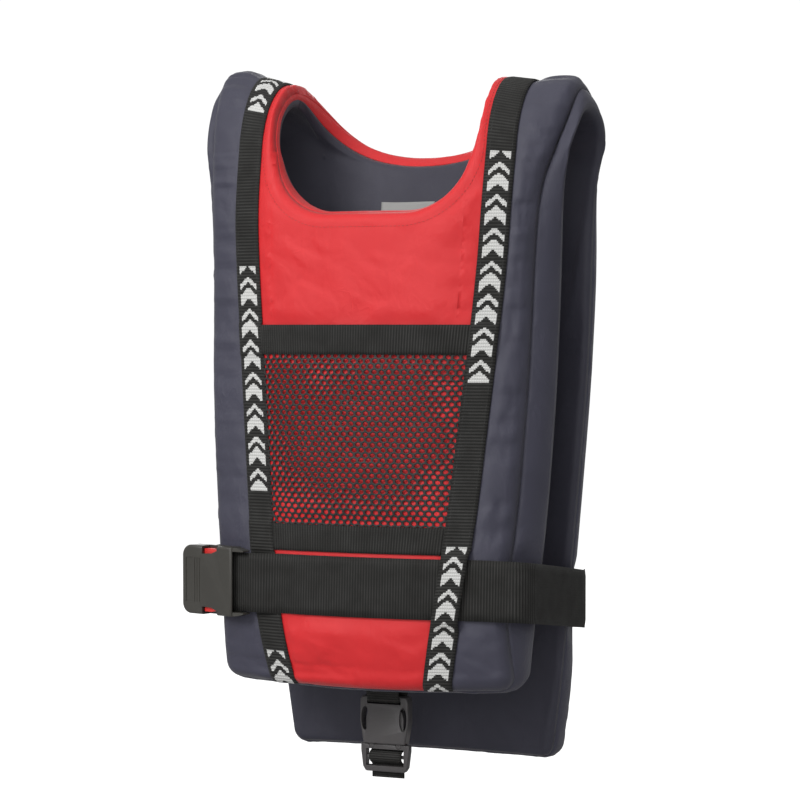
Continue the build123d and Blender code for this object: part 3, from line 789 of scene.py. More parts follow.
# Belt from the buckle across the front, round the right side, across the back and up the left side.
def makeBeltMain():
    z0, z1 = webbing["beltZ"], webbing["beltZ"] - webbing["beltDrop"]
    front = [(x, -padReach("front", x, z0) - 0.0002) for x in np.linspace(-0.070, 0.128, 12)]
    start = [buckleSpot(0.0095, -0.0037), buckleSpot(-0.002, -0.0037), buckleSpot(-0.012, -0.0037),
             (-0.0865, -padReach("front", -0.0865, z0) - 0.0050)]
    right = [(0.1365, -padReach("front", 0.1365, z0) - 0.0010), (0.1445, -0.0610), (0.1480, -0.040),
             (0.1500, 0.005), (0.1495, 0.045), (0.1465, 0.074), (0.1385, 0.0905)]
    back = [(x, padReach("back", x, z1) + 0.0002) for x in np.linspace(0.128, -0.128, 12)]
    left = [(-0.1465, 0.0935), (-0.1535, 0.080), (-0.1575, 0.050), (-0.1595, 0.020), (-0.1592, -0.0115)]
    path = smoothPath(start + front + right + back + left, 0.0003)
    x, y = path[:, 0], path[:, 1]
    early = np.arange(len(path)) < len(path) / 2
    share = np.where(early, (y + 0.075) / 0.17, (y + 0.006) / 0.1)
    z = z0 + (z1 - z0) * np.clip(share, 0, 1)
    half = webbing["beltWidth"] / 2
    onPad = ease((0.142 - np.abs(x)) / 0.012) * np.where(early & (x < 0), ease((x + 0.098) / 0.02), 1)
    part = np.where(y < 0, -1, 1)
    lean = []
    for edge in (half, -half):
        more = np.where(y < 0, padReach("front", x, z + edge) - padReach("front", x, z),
                        padReach("back", x, z + edge) - padReach("back", x, z))
        lean.append(part * onPad * more)
    return upright("waistBelt", path, z, webbing["beltThick"], lean)


# The belt's left end: up the side, round the buckle's bar and back, sewn against itself.
def makeBeltEnd():
    bar, r = beltBuckle["bar"], beltBuckle["barRound"]
    round_ = [buckleSpot(bar[0] + r * math.cos(a), bar[1] + r * math.sin(a))
              for a in np.linspace(0, math.pi, 9)]
    tail = [buckleSpot(bar[0] + 0.0003, -0.0135)]
    go = [(-0.1595, -0.0085), (-0.1580, -0.036), tail[0], buckleSpot(bar[0] + 0.0022, -0.0075)]
    come = [buckleSpot(bar[0] - 0.0022, -0.0075), buckleSpot(bar[0] - 0.0003, -0.0135),
            (-0.1572, -0.045), (-0.1579, -0.034)]
    path = smoothPath(go + round_ + come, 0.0003)
    return upright("waistBeltEnd", path, webbing["beltZ"], 0.0012, rib=0.6)


beltMain = makeBeltMain()
beltEnd = makeBeltEnd()
print("belt made")


# Crotch webbing along a path of (y, z), its width across the jacket.
def hanging(name, spots, thickness=0.0012):
    path = cutCorners([(y / 1000, z / 1000) for y, z in spots], 0.0003)
    n = len(path)
    way = np.gradient(path, axis=0)
    normal = np.stack([np.zeros(n), way[:, 1], -way[:, 0]], axis=-1)
    normal /= np.linalg.norm(normal, axis=1, keepdims=True)
    half = webbing["crotchWidth"] / 2
    base = np.stack([np.zeros(n), path[:, 0], path[:, 1]], axis=-1) - normal * thickness / 2
    sideways = np.array([half, 0, 0])
    return ribbon(name, base - sideways, base + sideways, normal, thickness, 0.0022, 0.00025)


liningBend = 7.1   # mm, how much further out the lining stands in the middle


# Reach of a pad's lining in the middle at a height, in mm.
def liningReach(part, z):
    return float(cubicThrough(padShape[part]["inner"], np.array([z]))[0]) * 1000 + liningBend


hangPlace = -(liningReach("front", -0.480) - 2.0)
wallLow = liningReach("back", -0.452) - 1.6
wallHigh = liningReach("back", -0.425) - 1.6
webLoop = hanging("crotchLoop", [(hangPlace, -468), (hangPlace, -494), (-23.4, -507), (-22.9, -512.9),
                                 (-9.4, -512.9), (-9.1, -507), (-14, -494)])
crotchTail = hanging("crotchTail", [(-11.4, -579), (-11.4, -568.2), (-12.2, -566.6), (-18.5, -563.4),
                                    (-18.5, -557), (-12, -554.6), (-9.2, -552)])
crotchRun = hanging("crotchRun", [(-8.9, -551.6), (-8.4, -540), (-7.4, -520), (-4, -503), (2, -492)])
crotchSpan = hanging("crotchSpan", [(2.6, -491.4), (14, -480), (32, -470.5), (wallLow - 10, -462),
                                    (wallLow, -452), (wallHigh, -425)])
print("crotch webbing made")

# Pocket
pocket = {
    "pitch": 0.0065,         # hole spacing along a row
    "row": 0.0043,           # spacing of the rows
    "hole": 0.63,            # hole size as a share of its cell
    "thread": 0.0008,
    "bulge": 0.0030,         # how far the net stands out at its mouth
    "foot": -0.3630,
    "mouth": -0.1960,
    "mouthBand": (-0.1900, -0.2150),
    "footBand": (-0.3575, -0.3800),
}


# The net lies flat at its foot and sides and stands out towards its mouth.
def netLift(x, t):
    z = heightAt(t)
    across = np.clip(1 - (x / (strapLine(t) - 0.010)) ** 2, 0, 1) ** 0.8
    p = np.stack([x, z, 0 * x], axis=-1)
    return 0.0003 + across * ease((z + 0.357) / 0.06) * (pocket["bulge"] + 0.0007 * softNoise(p, 61, 0.05))


# Knitted net of staggered six-sided cells, each a ring of faces between its outline and its hole.
def makeNet():
    pitch, row = pocket["pitch"], pocket["row"]
    heights = np.arange(pocket["foot"], pocket["mouth"], row)
    cx, cz = np.meshgrid(np.arange(-16, 17) * pitch, heights)
    cx = cx + pitch / 2 * (np.arange(len(heights)) % 2)[:, None]
    held = np.abs(cx) < strapLine(placeAt(cz, "front")) - 0.0045
    centre = np.stack([cx[held], cz[held]], axis=-1)
    corner = np.array([(pitch / 2, -row / 3), (pitch / 2, row / 3), (0, row * 2 / 3), (-pitch / 2, row / 3),
                       (-pitch / 2, -row / 3), (0, -row * 2 / 3)])
    outline = np.stack([corner, (corner + np.roll(corner, -1, axis=0)) / 2], axis=1).reshape(-1, 2)
    hole = outline * pocket["hole"] * [1, 1.02]
    rings = np.stack([outline, outline * 0.82, hole])
    rings = np.concatenate([rings, rings[:, :1]], axis=1)
    flat = centre[:, None, None] + rings[None]
    p = np.concatenate([flat, 0 * flat[..., :1]], axis=-1)
    flat = flat + 0.0004 * np.stack([softNoise(p, 71, 0.02), softNoise(p, 72, 0.02)], axis=-1)
    rise = np.array([0.00025, 0.0002, -0.0001])[None, :, None]
    x, t = flat[..., 0], placeAt(flat[..., 1], "front")
    points = onSkin(x, t, netLift(x, t) + rise + pocket["thread"])
    count, ringCount, around = points.shape[:3]
    index = np.arange(count * ringCount * around).reshape(count, ringCount, around)
    quad = quadsOf(index).reshape(-1, 4)[:, ::-1]
    net = newObject("pocketNet", points.reshape(-1, 3), quad.tolist(), flat.reshape(-1, 2)[quad.ravel()])
    mergeClose(net, 5e-5)
    mesh = net.data
    way = np.zeros(len(mesh.polygons) * 3)
    mesh.polygons.foreach_get("normal", way)
    if way.reshape(-1, 3)[:, 1].sum() > 0:
        mesh.flip_normals()
    return thicken(net, pocket["thread"])


# A webbing band from strap to strap across the front, its ends under the straps.
def bandAcross(name, top, foot, raised):
    share = np.linspace(-1, 1, 900)
    edges = []
    for z in (top, foot):
        t = np.full(share.shape, float(placeAt(z, "front")))
        x = share * (strapLine(t) - 0.004)
        edges.append(onSkin(x, t, raised(x, t)))
    t = np.full(share.shape, float(placeAt((top + foot) / 2, "front")))
    normal = surfaceNormal(outerSkin, share * (strapLine(t) - 0.004), t)
    return ribbon(name, edges[0], edges[1], normal, 0.0013, webbing["beltRib"], webbing["ribHeight"])


net = makeNet()
mouthBand = bandAcross("pocketMouthBand", *pocket["mouthBand"], lambda x, t: netLift(x, t) + 0.0009)
footBand = bandAcross("pocketFootBand", *pocket["footBand"], lambda x, t: 0.0006 + 0 * x)
print("pocket made")


labelPatch = {
    "left": -0.033,
    "right": 0.017,
    "top": -0.082,
    "foot": -0.128,
}


# A sewn label on the back lining below the neck, with a slightly wavy edge.
def makeLabel():
    x, z = np.meshgrid(np.linspace(labelPatch["left"], labelPatch["right"], 26),
                       np.linspace(labelPatch["top"], labelPatch["foot"], 24))
    t = placeAt(z, "back")
    points = liningCloth(x, t)
    points[..., 1] -= 0.0006 + 0.0004 * ease(np.abs(x + 0.008) / 0.025) * (1 + np.sin(z * 300))
    uv = np.stack([x - labelPatch["left"], z - labelPatch["foot"]], axis=-1)
    inside = points + [0, 0.02, 0]
    return thicken(meshFromGrids("sizeLabel", [(points, uv, inside)]), 0.0004)


label = makeLabel()


# Rows of stitches along lines of (points, normals): each a short rod whose ends dip into the cloth.
def stitches(name, lines, pitch=0.0034, length=0.0024, radius=0.00032):
    verts, faces, start = [], [], 0
    ring = np.linspace(0, 2 * math.pi, 7)[:-1]
    for points, normals in lines:
        run = runLength(points[:, None])[:, 0]
        at = np.arange(pitch, run[-1] - pitch, pitch)
        stations = at[:, None] + np.array([-0.5, -0.3, 0.3, 0.5]) * length
        spot = np.stack([np.interp(stations, run, points[:, k]) for k in range(3)], axis=-1)
        up = np.stack([np.interp(stations, run, normals[:, k]) for k in range(3)], axis=-1)
        up /= np.linalg.norm(up, axis=-1, keepdims=True)
        way = spot[:, -1:] - spot[:, :1]
        way = way / np.linalg.norm(way, axis=-1, keepdims=True)
        side = np.cross(way + 0 * up, up)
        thick = np.array([0.35, 1.0, 1.0, 0.35])[None, :, None, None] * radius
        sink = np.array([-1.3, 0.35, 0.35, -1.3])[None, :, None] * radius
        around = (np.cos(ring)[None, None, :, None] * side[:, :, None]
                  + np.sin(ring)[None, None, :, None] * up[:, :, None])
        body = (spot + up * sink)[:, :, None] + thick * around
        index = start + np.arange(len(at) * 24).reshape(len(at), 4, 6)
        turned = np.roll(index, -1, axis=2)
        quad = np.stack([index[:, :-1], index[:, 1:], turned[:, 1:], turned[:, :-1]], axis=-1)
        faces += quad.reshape(-1, 4).tolist()
        faces += index[:, 0].tolist()
        faces += index[:, 3, ::-1].tolist()
        verts.append(body.reshape(-1, 3))
        start += len(at) * 24
    obj = newObject(name, np.concatenate(verts), faces)
    edited(obj, lambda bm: bmesh.ops.recalc_face_normals(bm, faces=bm.faces))
    return obj


# Two rows of stitching along a shoulder strap.
def strapStitches(side, name):
    rows = np.linspace(placeAt(-0.485, "front"), placeAt(-0.555, "back"), 900)
    lift = strapLift(rows, side) + webbing["strapThick"] + 0.0001
    lines = []
    for share in (-0.78, 0.78):
        x = side * (strapLine(rows) + share * strapHalf(rows, side))
        lines.append((onSkin(x, rows, lift), surfaceNormal(outerSkin, x, rows)))
    return stitches(name, lines)


# A row of topstitching in the red cloth round the neck hole.
def neckStitches():
    x, t = neckPath()
    away = np.where(np.abs(x) > 1e-6, np.sign(x), 0)
    z = heightAt(t)
    front = t < tNeck - 1e-9
    dx = np.where(front, np.sign(x) * np.maximum(np.abs(x) - pads["frontNeckFlat"], 0), 0)
    dz = np.where(front, np.minimum(z - pads["neckTop"], 0), 0)
    size = np.hypot(dx, dz) + 1e-9
    x2 = np.where(front, x + dx / size * 0.012, x + away * 0.012)
    z2 = np.where(front, z + dz / size * 0.012, z)
    t2 = np.where(front, placeAt(z2, "front"), t)
    front2 = (t2 < 0.02)
    points = foldedSkin(x2, t2)
    normals = surfaceNormal(outerSkin, x2, t2)
    breakAt = np.flatnonzero(~front2)
    first = np.arange(0, breakAt[0])
    last = np.arange(breakAt[-1] + 1, len(x2))
    return [(points[k], normals[k]) for k in (first, last) if len(k) > 8]


strapSewingLeft = strapStitches(-1, "strapSewingLeft")
strapSewingRight = strapStitches(1, "strapSewingRight")
neckSewing = stitches("neckSewing", neckStitches(), pitch=0.0036, length=0.0026, radius=0.0003)
print("stitching made")


# Joins the triangles of flat faces into whole faces.
def joinFaces(bm):
    bmesh.ops.remove_doubles(bm, verts=bm.verts, dist=1e-6)
    bmesh.ops.dissolve_limit(bm, angle_limit=0.03, verts=bm.verts, edges=bm.edges)


# A copy of a CAD part with its triangles joined into whole faces and its edges rounded.
def softened(source, name, width):
    made = frame["nodes"][source].copy()
    made.data = made.data.copy()
    made.name = name
    made.parent = None
    for key in [k for k in made.keys() if k.startswith("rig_")]:
        del made[key]
    bpy.context.scene.collection.objects.link(made)
    edited(made, joinFaces)
    bevel = made.modifiers.new("edges", "BEVEL")
    bevel.width = width
    bevel.segments = 2
    bevel.limit_method = "ANGLE"
    bevel.angle_limit = 0.7
    bevel.harden_normals = True
    made.data.polygons.foreach_set("use_smooth", np.ones(len(made.data.polygons), bool))
    made.data.materials.clear()
    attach(made, frame["nodes"][source]["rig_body"])
    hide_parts(source)
    return made


beltSocket = softened("belt_buckle_socket", "beltSocket", 0.0007)
beltProngs = softened("belt_buckle_frame", "beltProngs", 0.0003)
beltLevers = [softened("belt_lever_" + word, "beltLever" + word.title(), 0.0005)
              for word in ("upper", "lower")]
crotchSocket = softened("crotch_buckle_socket", "crotchSocket", 0.0006)
crotchLock = softened("crotch_ladder_lock", "crotchLock", 0.0005)
crotchLevers = [softened("crotch_lever_" + word, "crotchLever" + word.title(), 0.0004)
                for word in ("left", "right")]

# The CAD parts each piece stands in for are hidden; the pocket, label and crotch pieces ride on a body
for piece, nodes, slotName in (
        (centrePanel, ["front_panel_centre", "back_panel_centre", "front_foam", "back_foam"], "red_fabric"),
        (sideLeft, ["front_panel_left", "back_panel_left"], "navy_fabric"),
        (sideRight, ["front_panel_right", "back_panel_right"], "navy_fabric"),
        (gusset, ["front_gusset", "back_gusset"], "navy_fabric"),
        (neckEdging, ["front_neck_edging", "back_neck_edging"], "red_fabric"),
        (lining, ["front_lining", "back_lining"], "lining_fabric"),
        (strapLeft, ["front_strap_left", "back_strap_left"], "strap_webbing"),
        (strapRight, ["front_strap_right", "back_strap_right"], "strap_webbing"),
        (strapSewingLeft, [], "strap_webbing"),
        (strapSewingRight, [], "strap_webbing"),
        (neckSewing, [], "red_fabric")):
    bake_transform(piece)
    if nodes:
        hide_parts(*nodes)
for piece, nodes, slotName, body in (
        (net, ["pocket_net"], "pocket_mesh", "front"),
        (mouthBand, ["pocket_top_band"], "strap_webbing", "front"),
        (footBand, ["pocket_bottom_band"], "strap_webbing", "front"),
        (webLoop, ["crotch_web_loop"], "strap_webbing", "front"),
        (crotchTail, ["crotch_strap_tail"], "strap_webbing", "crotch_plug"),
        (label, ["size_label"], "label_fabric", "back")):
    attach(piece, body)
    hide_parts(*nodes)
for piece, nodes, slotName, first, second, start, end in (
        (beltMain, ["belt_front", "belt_side_right", "belt_back", "belt_left_rear_span"], "belt_webbing",
         "front", "back", (0, 0, 0), (0, 0.08, 0)),
        (beltEnd, ["belt_left_front_span", "belt_end_loop"], "belt_webbing",
         "front", "belt_plug", (0, -0.010, 0), (0, -0.054, 0)),
        (crotchRun, ["crotch_strap_run"], "strap_webbing",
         "front", "crotch_plug", (0, 0, -0.493), (0, 0, -0.551)),
        (crotchSpan, ["crotch_strap_span"], "strap_webbing",
         "front", "back", (0, 0.003, 0), (0, 0.050, 0))):
    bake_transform(piece)
    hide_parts(*nodes)

# Materials
# deep is the darker colour of random patches and weave specks, and also the painted shade in the fold
# hollows.
cloths = {
    "red": {"color": (0.65, 0.020, 0.024), "deep": (0.48, 0.010, 0.014), "sheen": 0.08, "rough": 0.50},
    "navy": {"color": (0.052, 0.051, 0.076), "deep": (0.020, 0.020, 0.034), "sheen": 0.08, "rough": 0.50},
    "lining": {"color": (0.044, 0.043, 0.062), "deep": (0.017, 0.017, 0.028), "sheen": 0.10, "rough": 0.58},
}
black = (0.0105, 0.0100, 0.0088)
white = (0.60, 0.60, 0.585)
weavePitch = 0.00042


# An empty node group with named value, colour and vector sockets.
def group(name, inputs, outputs):
    tree = bpy.data.node_groups.new(name, "ShaderNodeTree")
    for title, kind in inputs:
        tree.interface.new_socket(title, in_out="INPUT", socket_type=kind)
    for title, kind in outputs:
        tree.interface.new_socket(title, in_out="OUTPUT", socket_type=kind)
    return tree, tree.nodes.new("NodeGroupInput"), tree.nodes.new("NodeGroupOutput")


# A node with its settings.
def node(tree, kind, **facts):
    made = tree.nodes.new(kind)
    for key, value in facts.items():
        setattr(made, key, value)
    return made


# Links a socket or sets a constant.
def fill(tree, target, value):
    if isinstance(value, bpy.types.NodeSocket):
        tree.links.new(value, target)
    else:
        target.default_value = value


# One sum on up to three sockets or numbers.
def calc(tree, kind, a, b=0.0, c=0.0, clamp=False):
    made = node(tree, "ShaderNodeMath", operation=kind, use_clamp=clamp)
    for target, value in zip(made.inputs, (a, b, c)):
        fill(tree, target, value)
    return made.outputs[0]


# Colour a with a share of colour b.
def blendColors(tree, share, a, b):
    made = node(tree, "ShaderNodeMix", data_type="RGBA")
    fill(tree, made.inputs["Factor"], share)
    fill(tree, made.inputs[6], a if isinstance(a, bpy.types.NodeSocket) else (*a, 1))
    fill(tree, made.inputs[7], b if isinstance(b, bpy.types.NodeSocket) else (*b, 1))
    return made.outputs[2]


# Noise value at a vector.
def noiseAt(tree, vector, scale, detail=2.0, rough=0.5, warp=0.0):
    made = node(tree, "ShaderNodeTexNoise")
    made.inputs["Scale"].default_value = scale
    made.inputs["Detail"].default_value = detail
    made.inputs["Roughness"].default_value = rough
    made.inputs["Distortion"].default_value = warp
    tree.links.new(vector, made.inputs["Vector"])
    return made.outputs[0]


# A normal tilted by the slope of a height, on top of another normal if one is given.
def bumped(tree, height, distance, strength=1.0, normal=None):
    made = node(tree, "ShaderNodeBump")
    made.inputs["Distance"].default_value = distance
    made.inputs["Strength"].default_value = strength
    tree.links.new(height, made.inputs["Height"])
    if normal is not None:
        tree.links.new(normal, made.inputs["Normal"])
    return made.outputs["Normal"]


# The cloth's own U and V in metres.
def clothPlace(tree):
    uv = node(tree, "ShaderNodeUVMap", uv_map="cloth")
    split = node(tree, "ShaderNodeSeparateXYZ")
    tree.links.new(uv.outputs[0], split.inputs[0])
    return split.outputs


# A place in the jacket's frame, which the solid patterns use.
def objectPlace(tree):
    return node(tree, "ShaderNodeTexCoord").outputs["Object"]


# Plain weave from the cloth's own UVs in metres: product of two sines, one per thread direction.
def makeWeave():
    tree, entry, leave = group("plainWeave", [("Pitch", "NodeSocketFloat")], [("Height", "NodeSocketFloat")])
    along = clothPlace(tree)
    turn = calc(tree, "DIVIDE", 2 * math.pi, entry.outputs["Pitch"])
    u = calc(tree, "SINE", calc(tree, "MULTIPLY", along[0], turn))
    v = calc(tree, "SINE", calc(tree, "MULTIPLY", along[1], turn))
    height = calc(tree, "MULTIPLY_ADD", calc(tree, "MULTIPLY", u, v), 0.5, 0.5)
    tree.links.new(height, leave.inputs["Height"])
    return tree


# Soft creases of stuffed cloth on object coordinates: a stretched broad noise and thin ridges,
# where 1 - |2n - 1| of a warped noise is near 1. Gives the height and a mask of the hollows for painted
# shade.
def makeCrumple():
    tree, entry, leave = group("clothCrumple", [("Amount", "NodeSocketFloat")],
                               [("Height", "NodeSocketFloat"), ("HollowShade", "NodeSocketFloat")])
    place = objectPlace(tree)
    stretch = node(tree, "ShaderNodeMapping")
    stretch.inputs["Scale"].default_value = (1.0, 1.0, 0.7)
    tree.links.new(place, stretch.inputs["Vector"])
    broad = noiseAt(tree, stretch.outputs[0], 28.0, 3.0, 0.55, 0.6)
    fine = noiseAt(tree, stretch.outputs[0], 75.0, 2.0, 0.5, 1.2)
    fold = calc(tree, "ABSOLUTE", calc(tree, "MULTIPLY_ADD", fine, 2.0, -1.0))
    ridge = calc(tree, "POWER", calc(tree, "SUBTRACT", 1.0, fold, clamp=True), 6.0)
    where = calc(tree, "MULTIPLY_ADD", broad, 3.0, -1.2, clamp=True)
    total = calc(tree, "MULTIPLY_ADD", calc(tree, "MULTIPLY", ridge, where), 0.13, broad)
    scaled = calc(tree, "MULTIPLY", total, entry.outputs["Amount"])
    hollowShade = calc(tree, "MULTIPLY_ADD", broad, -2.6, 1.7, clamp=True)
    tree.links.new(scaled, leave.inputs["Height"])
    tree.links.new(hollowShade, leave.inputs["HollowShade"])
    return tree


# Webbing from its UVs in metres: long threads side by side, and one rib every pitch along it. Gives
# the height, the rib mask and a worn mask.
def makeWebThreads():
    tree, entry, leave = group("webbingThreads", [("Rib", "NodeSocketFloat"), ("Thread", "NodeSocketFloat")],
                               [("Height", "NodeSocketFloat"), ("Ridge", "NodeSocketFloat"),
                                ("Worn", "NodeSocketFloat")])
    along = clothPlace(tree)
    half = calc(tree, "MULTIPLY", entry.outputs["Rib"], 0.5)
    odd = calc(tree, "FLOOR", calc(tree, "DIVIDE", along[1], half))
    shift = calc(tree, "MULTIPLY", calc(tree, "MODULO", odd, 2.0), math.pi / 2)
    angle = calc(tree, "MULTIPLY", along[0], 2 * math.pi)
    angle = calc(tree, "DIVIDE", angle, entry.outputs["Thread"])
    long = calc(tree, "MULTIPLY_ADD", calc(tree, "SINE", calc(tree, "ADD", angle, shift)), 0.5, 0.5)
    turn = calc(tree, "DIVIDE", calc(tree, "MULTIPLY", along[1], 2 * math.pi), entry.outputs["Rib"])
    ridge = calc(tree, "MULTIPLY_ADD", calc(tree, "COSINE", turn), -0.5, 0.5)
    place = objectPlace(tree)
    fuzz = noiseAt(tree, place, 900.0, 2.0, 0.6)
    ribbed = calc(tree, "MULTIPLY_ADD", ridge, 0.6, calc(tree, "MULTIPLY", fuzz, 0.3))
    height = calc(tree, "MULTIPLY_ADD", long, 0.5, ribbed)
    rubbed = calc(tree, "MULTIPLY_ADD", noiseAt(tree, place, 60.0, 3.0), 2.4, -0.8, clamp=True)
    worn = calc(tree, "MULTIPLY", ridge, rubbed)
    tree.links.new(height, leave.inputs["Height"])
    tree.links.new(ridge, leave.inputs["Ridge"])
    tree.links.new(worn, leave.inputs["Worn"])
    return tree


pattern = {
    "middle": 0.0125,        # where the strap's middle lies across it
    "stepAcross": 0.00125,   # one thread of the pattern across the strap
    "stepAlong": 0.00135,
    "slant": 0.85,
    "spacing": 0.0275,       # from one wide bar to the next
    "wide": 0.34,            # share of the spacing that a wide bar takes
    "thinFrom": 0.52,
    "thinTo": 0.68,
    "half": 0.0076,          # half width of the pattern
    "group": 0.193,          # length of a run of bars
    "period": 0.329,         # from the start of one run to the next
}


# Generic woven pattern along a strap: in every Period of run, a Group of stepped slanting bars. The
# bars come from the fraction of (run + slant x distance from the middle) over the bar spacing, with
# run and width first rounded to thread steps.
def makeChevrons():
    tree, entry, leave = group("wovenChevrons", [("Start", "NodeSocketFloat"), ("Group", "NodeSocketFloat"),
                                                 ("Period", "NodeSocketFloat")],
                               [("Mask", "NodeSocketFloat")])
    along = clothPlace(tree)
    fromMiddle = calc(tree, "ABSOLUTE", calc(tree, "SUBTRACT", along[0], pattern["middle"]))
    u = calc(tree, "SNAP", fromMiddle, pattern["stepAcross"])
    v = calc(tree, "SNAP", along[1], pattern["stepAlong"])
    since = calc(tree, "ADD", calc(tree, "SUBTRACT", v, entry.outputs["Start"]), 3.29)
    inPeriod = calc(tree, "MODULO", since, entry.outputs["Period"])
    inGroup = calc(tree, "LESS_THAN", inPeriod, entry.outputs["Group"])
    slant = calc(tree, "MULTIPLY_ADD", u, pattern["slant"], inPeriod)
    part = calc(tree, "FRACT", calc(tree, "DIVIDE", slant, pattern["spacing"]))
    wide = calc(tree, "LESS_THAN", part, pattern["wide"])
    above = calc(tree, "GREATER_THAN", part, pattern["thinFrom"])
    below = calc(tree, "LESS_THAN", part, pattern["thinTo"])
    thin = calc(tree, "MULTIPLY", above, below)
    across = calc(tree, "LESS_THAN", u, pattern["half"])
    bars = calc(tree, "MULTIPLY", calc(tree, "ADD", wide, thin, clamp=True), across)
    mask = calc(tree, "MULTIPLY", bars, inGroup)
    tree.links.new(mask, leave.inputs["Mask"])
    return tree


weave, crumple, webThreads, chevrons = makeWeave(), makeCrumple(), makeWebThreads(), makeChevrons()


# A material's tree and its Principled shader.
def newMaterial(name):
    made = bpy.data.materials.new(name)
    made.use_nodes = True
    return made, made.node_tree, made.node_tree.nodes["Principled BSDF"]


# Places a shared group with its own values and gives its outputs.
def use(tree, shared, **values):
    made = node(tree, "ShaderNodeGroup", node_tree=shared)
    for key, value in values.items():
        fill(tree, made.inputs[key], value)
    return made.outputs


# Coated nylon: crumple and weave bumps, painted shade in the fold hollows and random patches of deeper
# colour, a soft sheen.
def clothMaterial(name, facts, amount=1.0):
    made, tree, shader = newMaterial(name)
    folds = use(tree, crumple, Amount=amount)
    threads = use(tree, weave, Pitch=weavePitch)
    place = objectPlace(tree)
    patchy = calc(tree, "MULTIPLY_ADD", noiseAt(tree, place, 9.0, 3.0), 0.5, -0.1, clamp=True)
    # The deep colour's share: painted shade in the fold hollows plus random patches of deeper tone.
    share = calc(tree, "MULTIPLY_ADD", folds["HollowShade"], 0.35, patchy, clamp=True)
    base = blendColors(tree, calc(tree, "MULTIPLY", share, 0.55), facts["color"], facts["deep"])
    speck = calc(tree, "MULTIPLY_ADD", threads["Height"], 0.14, 0.0)
    fill(tree, shader.inputs["Base Color"], blendColors(tree, speck, base, facts["deep"]))
    rough = calc(tree, "MULTIPLY_ADD", share, 0.14, facts["rough"] - 0.05)
    fill(tree, shader.inputs["Roughness"], rough)
    shader.inputs["Sheen Weight"].default_value = facts["sheen"]
    shader.inputs["Sheen Roughness"].default_value = 0.4
    shader.inputs["Specular IOR Level"].default_value = 0.35
    soft = bumped(tree, folds["Height"], 0.0022, 0.75)
    fill(tree, shader.inputs["Normal"], bumped(tree, threads["Height"], 0.00008, 0.6, soft))
    return made


# Black webbing, painted darker in the troughs between its ribs and lighter on their tops as shade and
# highlight; with a start it carries the woven white pattern, also painted darker where the weave lies low.
def webMaterial(name, rib, thread, start=None):
    made, tree, shader = newMaterial(name)
    web = use(tree, webThreads, Rib=rib, Thread=thread)
    # Painted shade and highlight: the black is darker in the rib troughs and lighter on the rib tops.
    ribShadedBlack = blendColors(tree, web["Ridge"], tuple(c * 0.45 for c in black), tuple(c * 1.5 for c in black))
    base = blendColors(tree, calc(tree, "MULTIPLY", web["Worn"], 0.5), ribShadedBlack, (0.05, 0.05, 0.048))
    if start is not None:
        mask = use(tree, chevrons, Start=start, Group=pattern["group"], Period=pattern["period"])["Mask"]
        # Painted shade: the white yarn is darker where the weave and the ribs lie low.
        pale = blendColors(tree, web["Height"], tuple(c * 0.62 for c in white), white)
        base = blendColors(tree, mask, base, pale)
    fill(tree, shader.inputs["Base Color"], base)
    shader.inputs["Roughness"].default_value = 0.68
    shader.inputs["Sheen Weight"].default_value = 0.04
    shader.inputs["Specular IOR Level"].default_value = 0.28
    fill(tree, shader.inputs["Normal"], bumped(tree, web["Height"], 0.00022, 0.8))
    return made


# Moulded plastic: fine spark-eroded grain, faint flow marks and paler scuffs.
def plasticMaterial(name, color, rough, worn):
    made, tree, shader = newMaterial(name)
    place = objectPlace(tree)
    grainy = noiseAt(tree, place, 1800.0, 2.0, 0.6)
    scuff = calc(tree, "MULTIPLY_ADD", noiseAt(tree, place, 160.0, 4.0, 0.6, 0.8), 3.0, -1.7, clamp=True)
    flow = noiseAt(tree, place, 30.0, 2.0)
    base = blendColors(tree, calc(tree, "MULTIPLY", scuff, 0.35), color, worn)
    base = blendColors(tree, calc(tree, "MULTIPLY", flow, 0.2), base, worn)
    fill(tree, shader.inputs["Base Color"], base)
    fill(tree, shader.inputs["Roughness"], calc(tree, "MULTIPLY_ADD", grainy, 0.16, rough - 0.08))
    fill(tree, shader.inputs["Normal"], bumped(tree, grainy, 0.00005, 0.6))
    return made


# Sewing thread: fine twisted plies along the object, slightly glossy.
def threadMaterial(name, color):
    made, tree, shader = newMaterial(name)
    place = objectPlace(tree)
    plies = noiseAt(tree, place, 2500.0, 1.0)
    fill(tree, shader.inputs["Base Color"], blendColors(tree, plies, tuple(c * 0.6 for c in color), color))
    shader.inputs["Roughness"].default_value = 0.5
    fill(tree, shader.inputs["Normal"], bumped(tree, plies, 0.00005, 0.5))
    return made


# Knitted mesh yarn: filaments from a stretched noise on the UVs, darker between them.
def netMaterial():
    made, tree, shader = newMaterial("netYarn")
    uv = node(tree, "ShaderNodeUVMap", uv_map="cloth").outputs[0]
    yarn = noiseAt(tree, uv, 1500.0, 2.0, 0.6, 0.5)
    base = blendColors(tree, yarn, (0.004, 0.004, 0.004), (0.011, 0.009, 0.009))
    fill(tree, shader.inputs["Base Color"], base)
    shader.inputs["Roughness"].default_value = 0.6
    shader.inputs["Sheen Weight"].default_value = 0.1
    fill(tree, shader.inputs["Normal"], bumped(tree, yarn, 0.00015, 0.7))
    return made


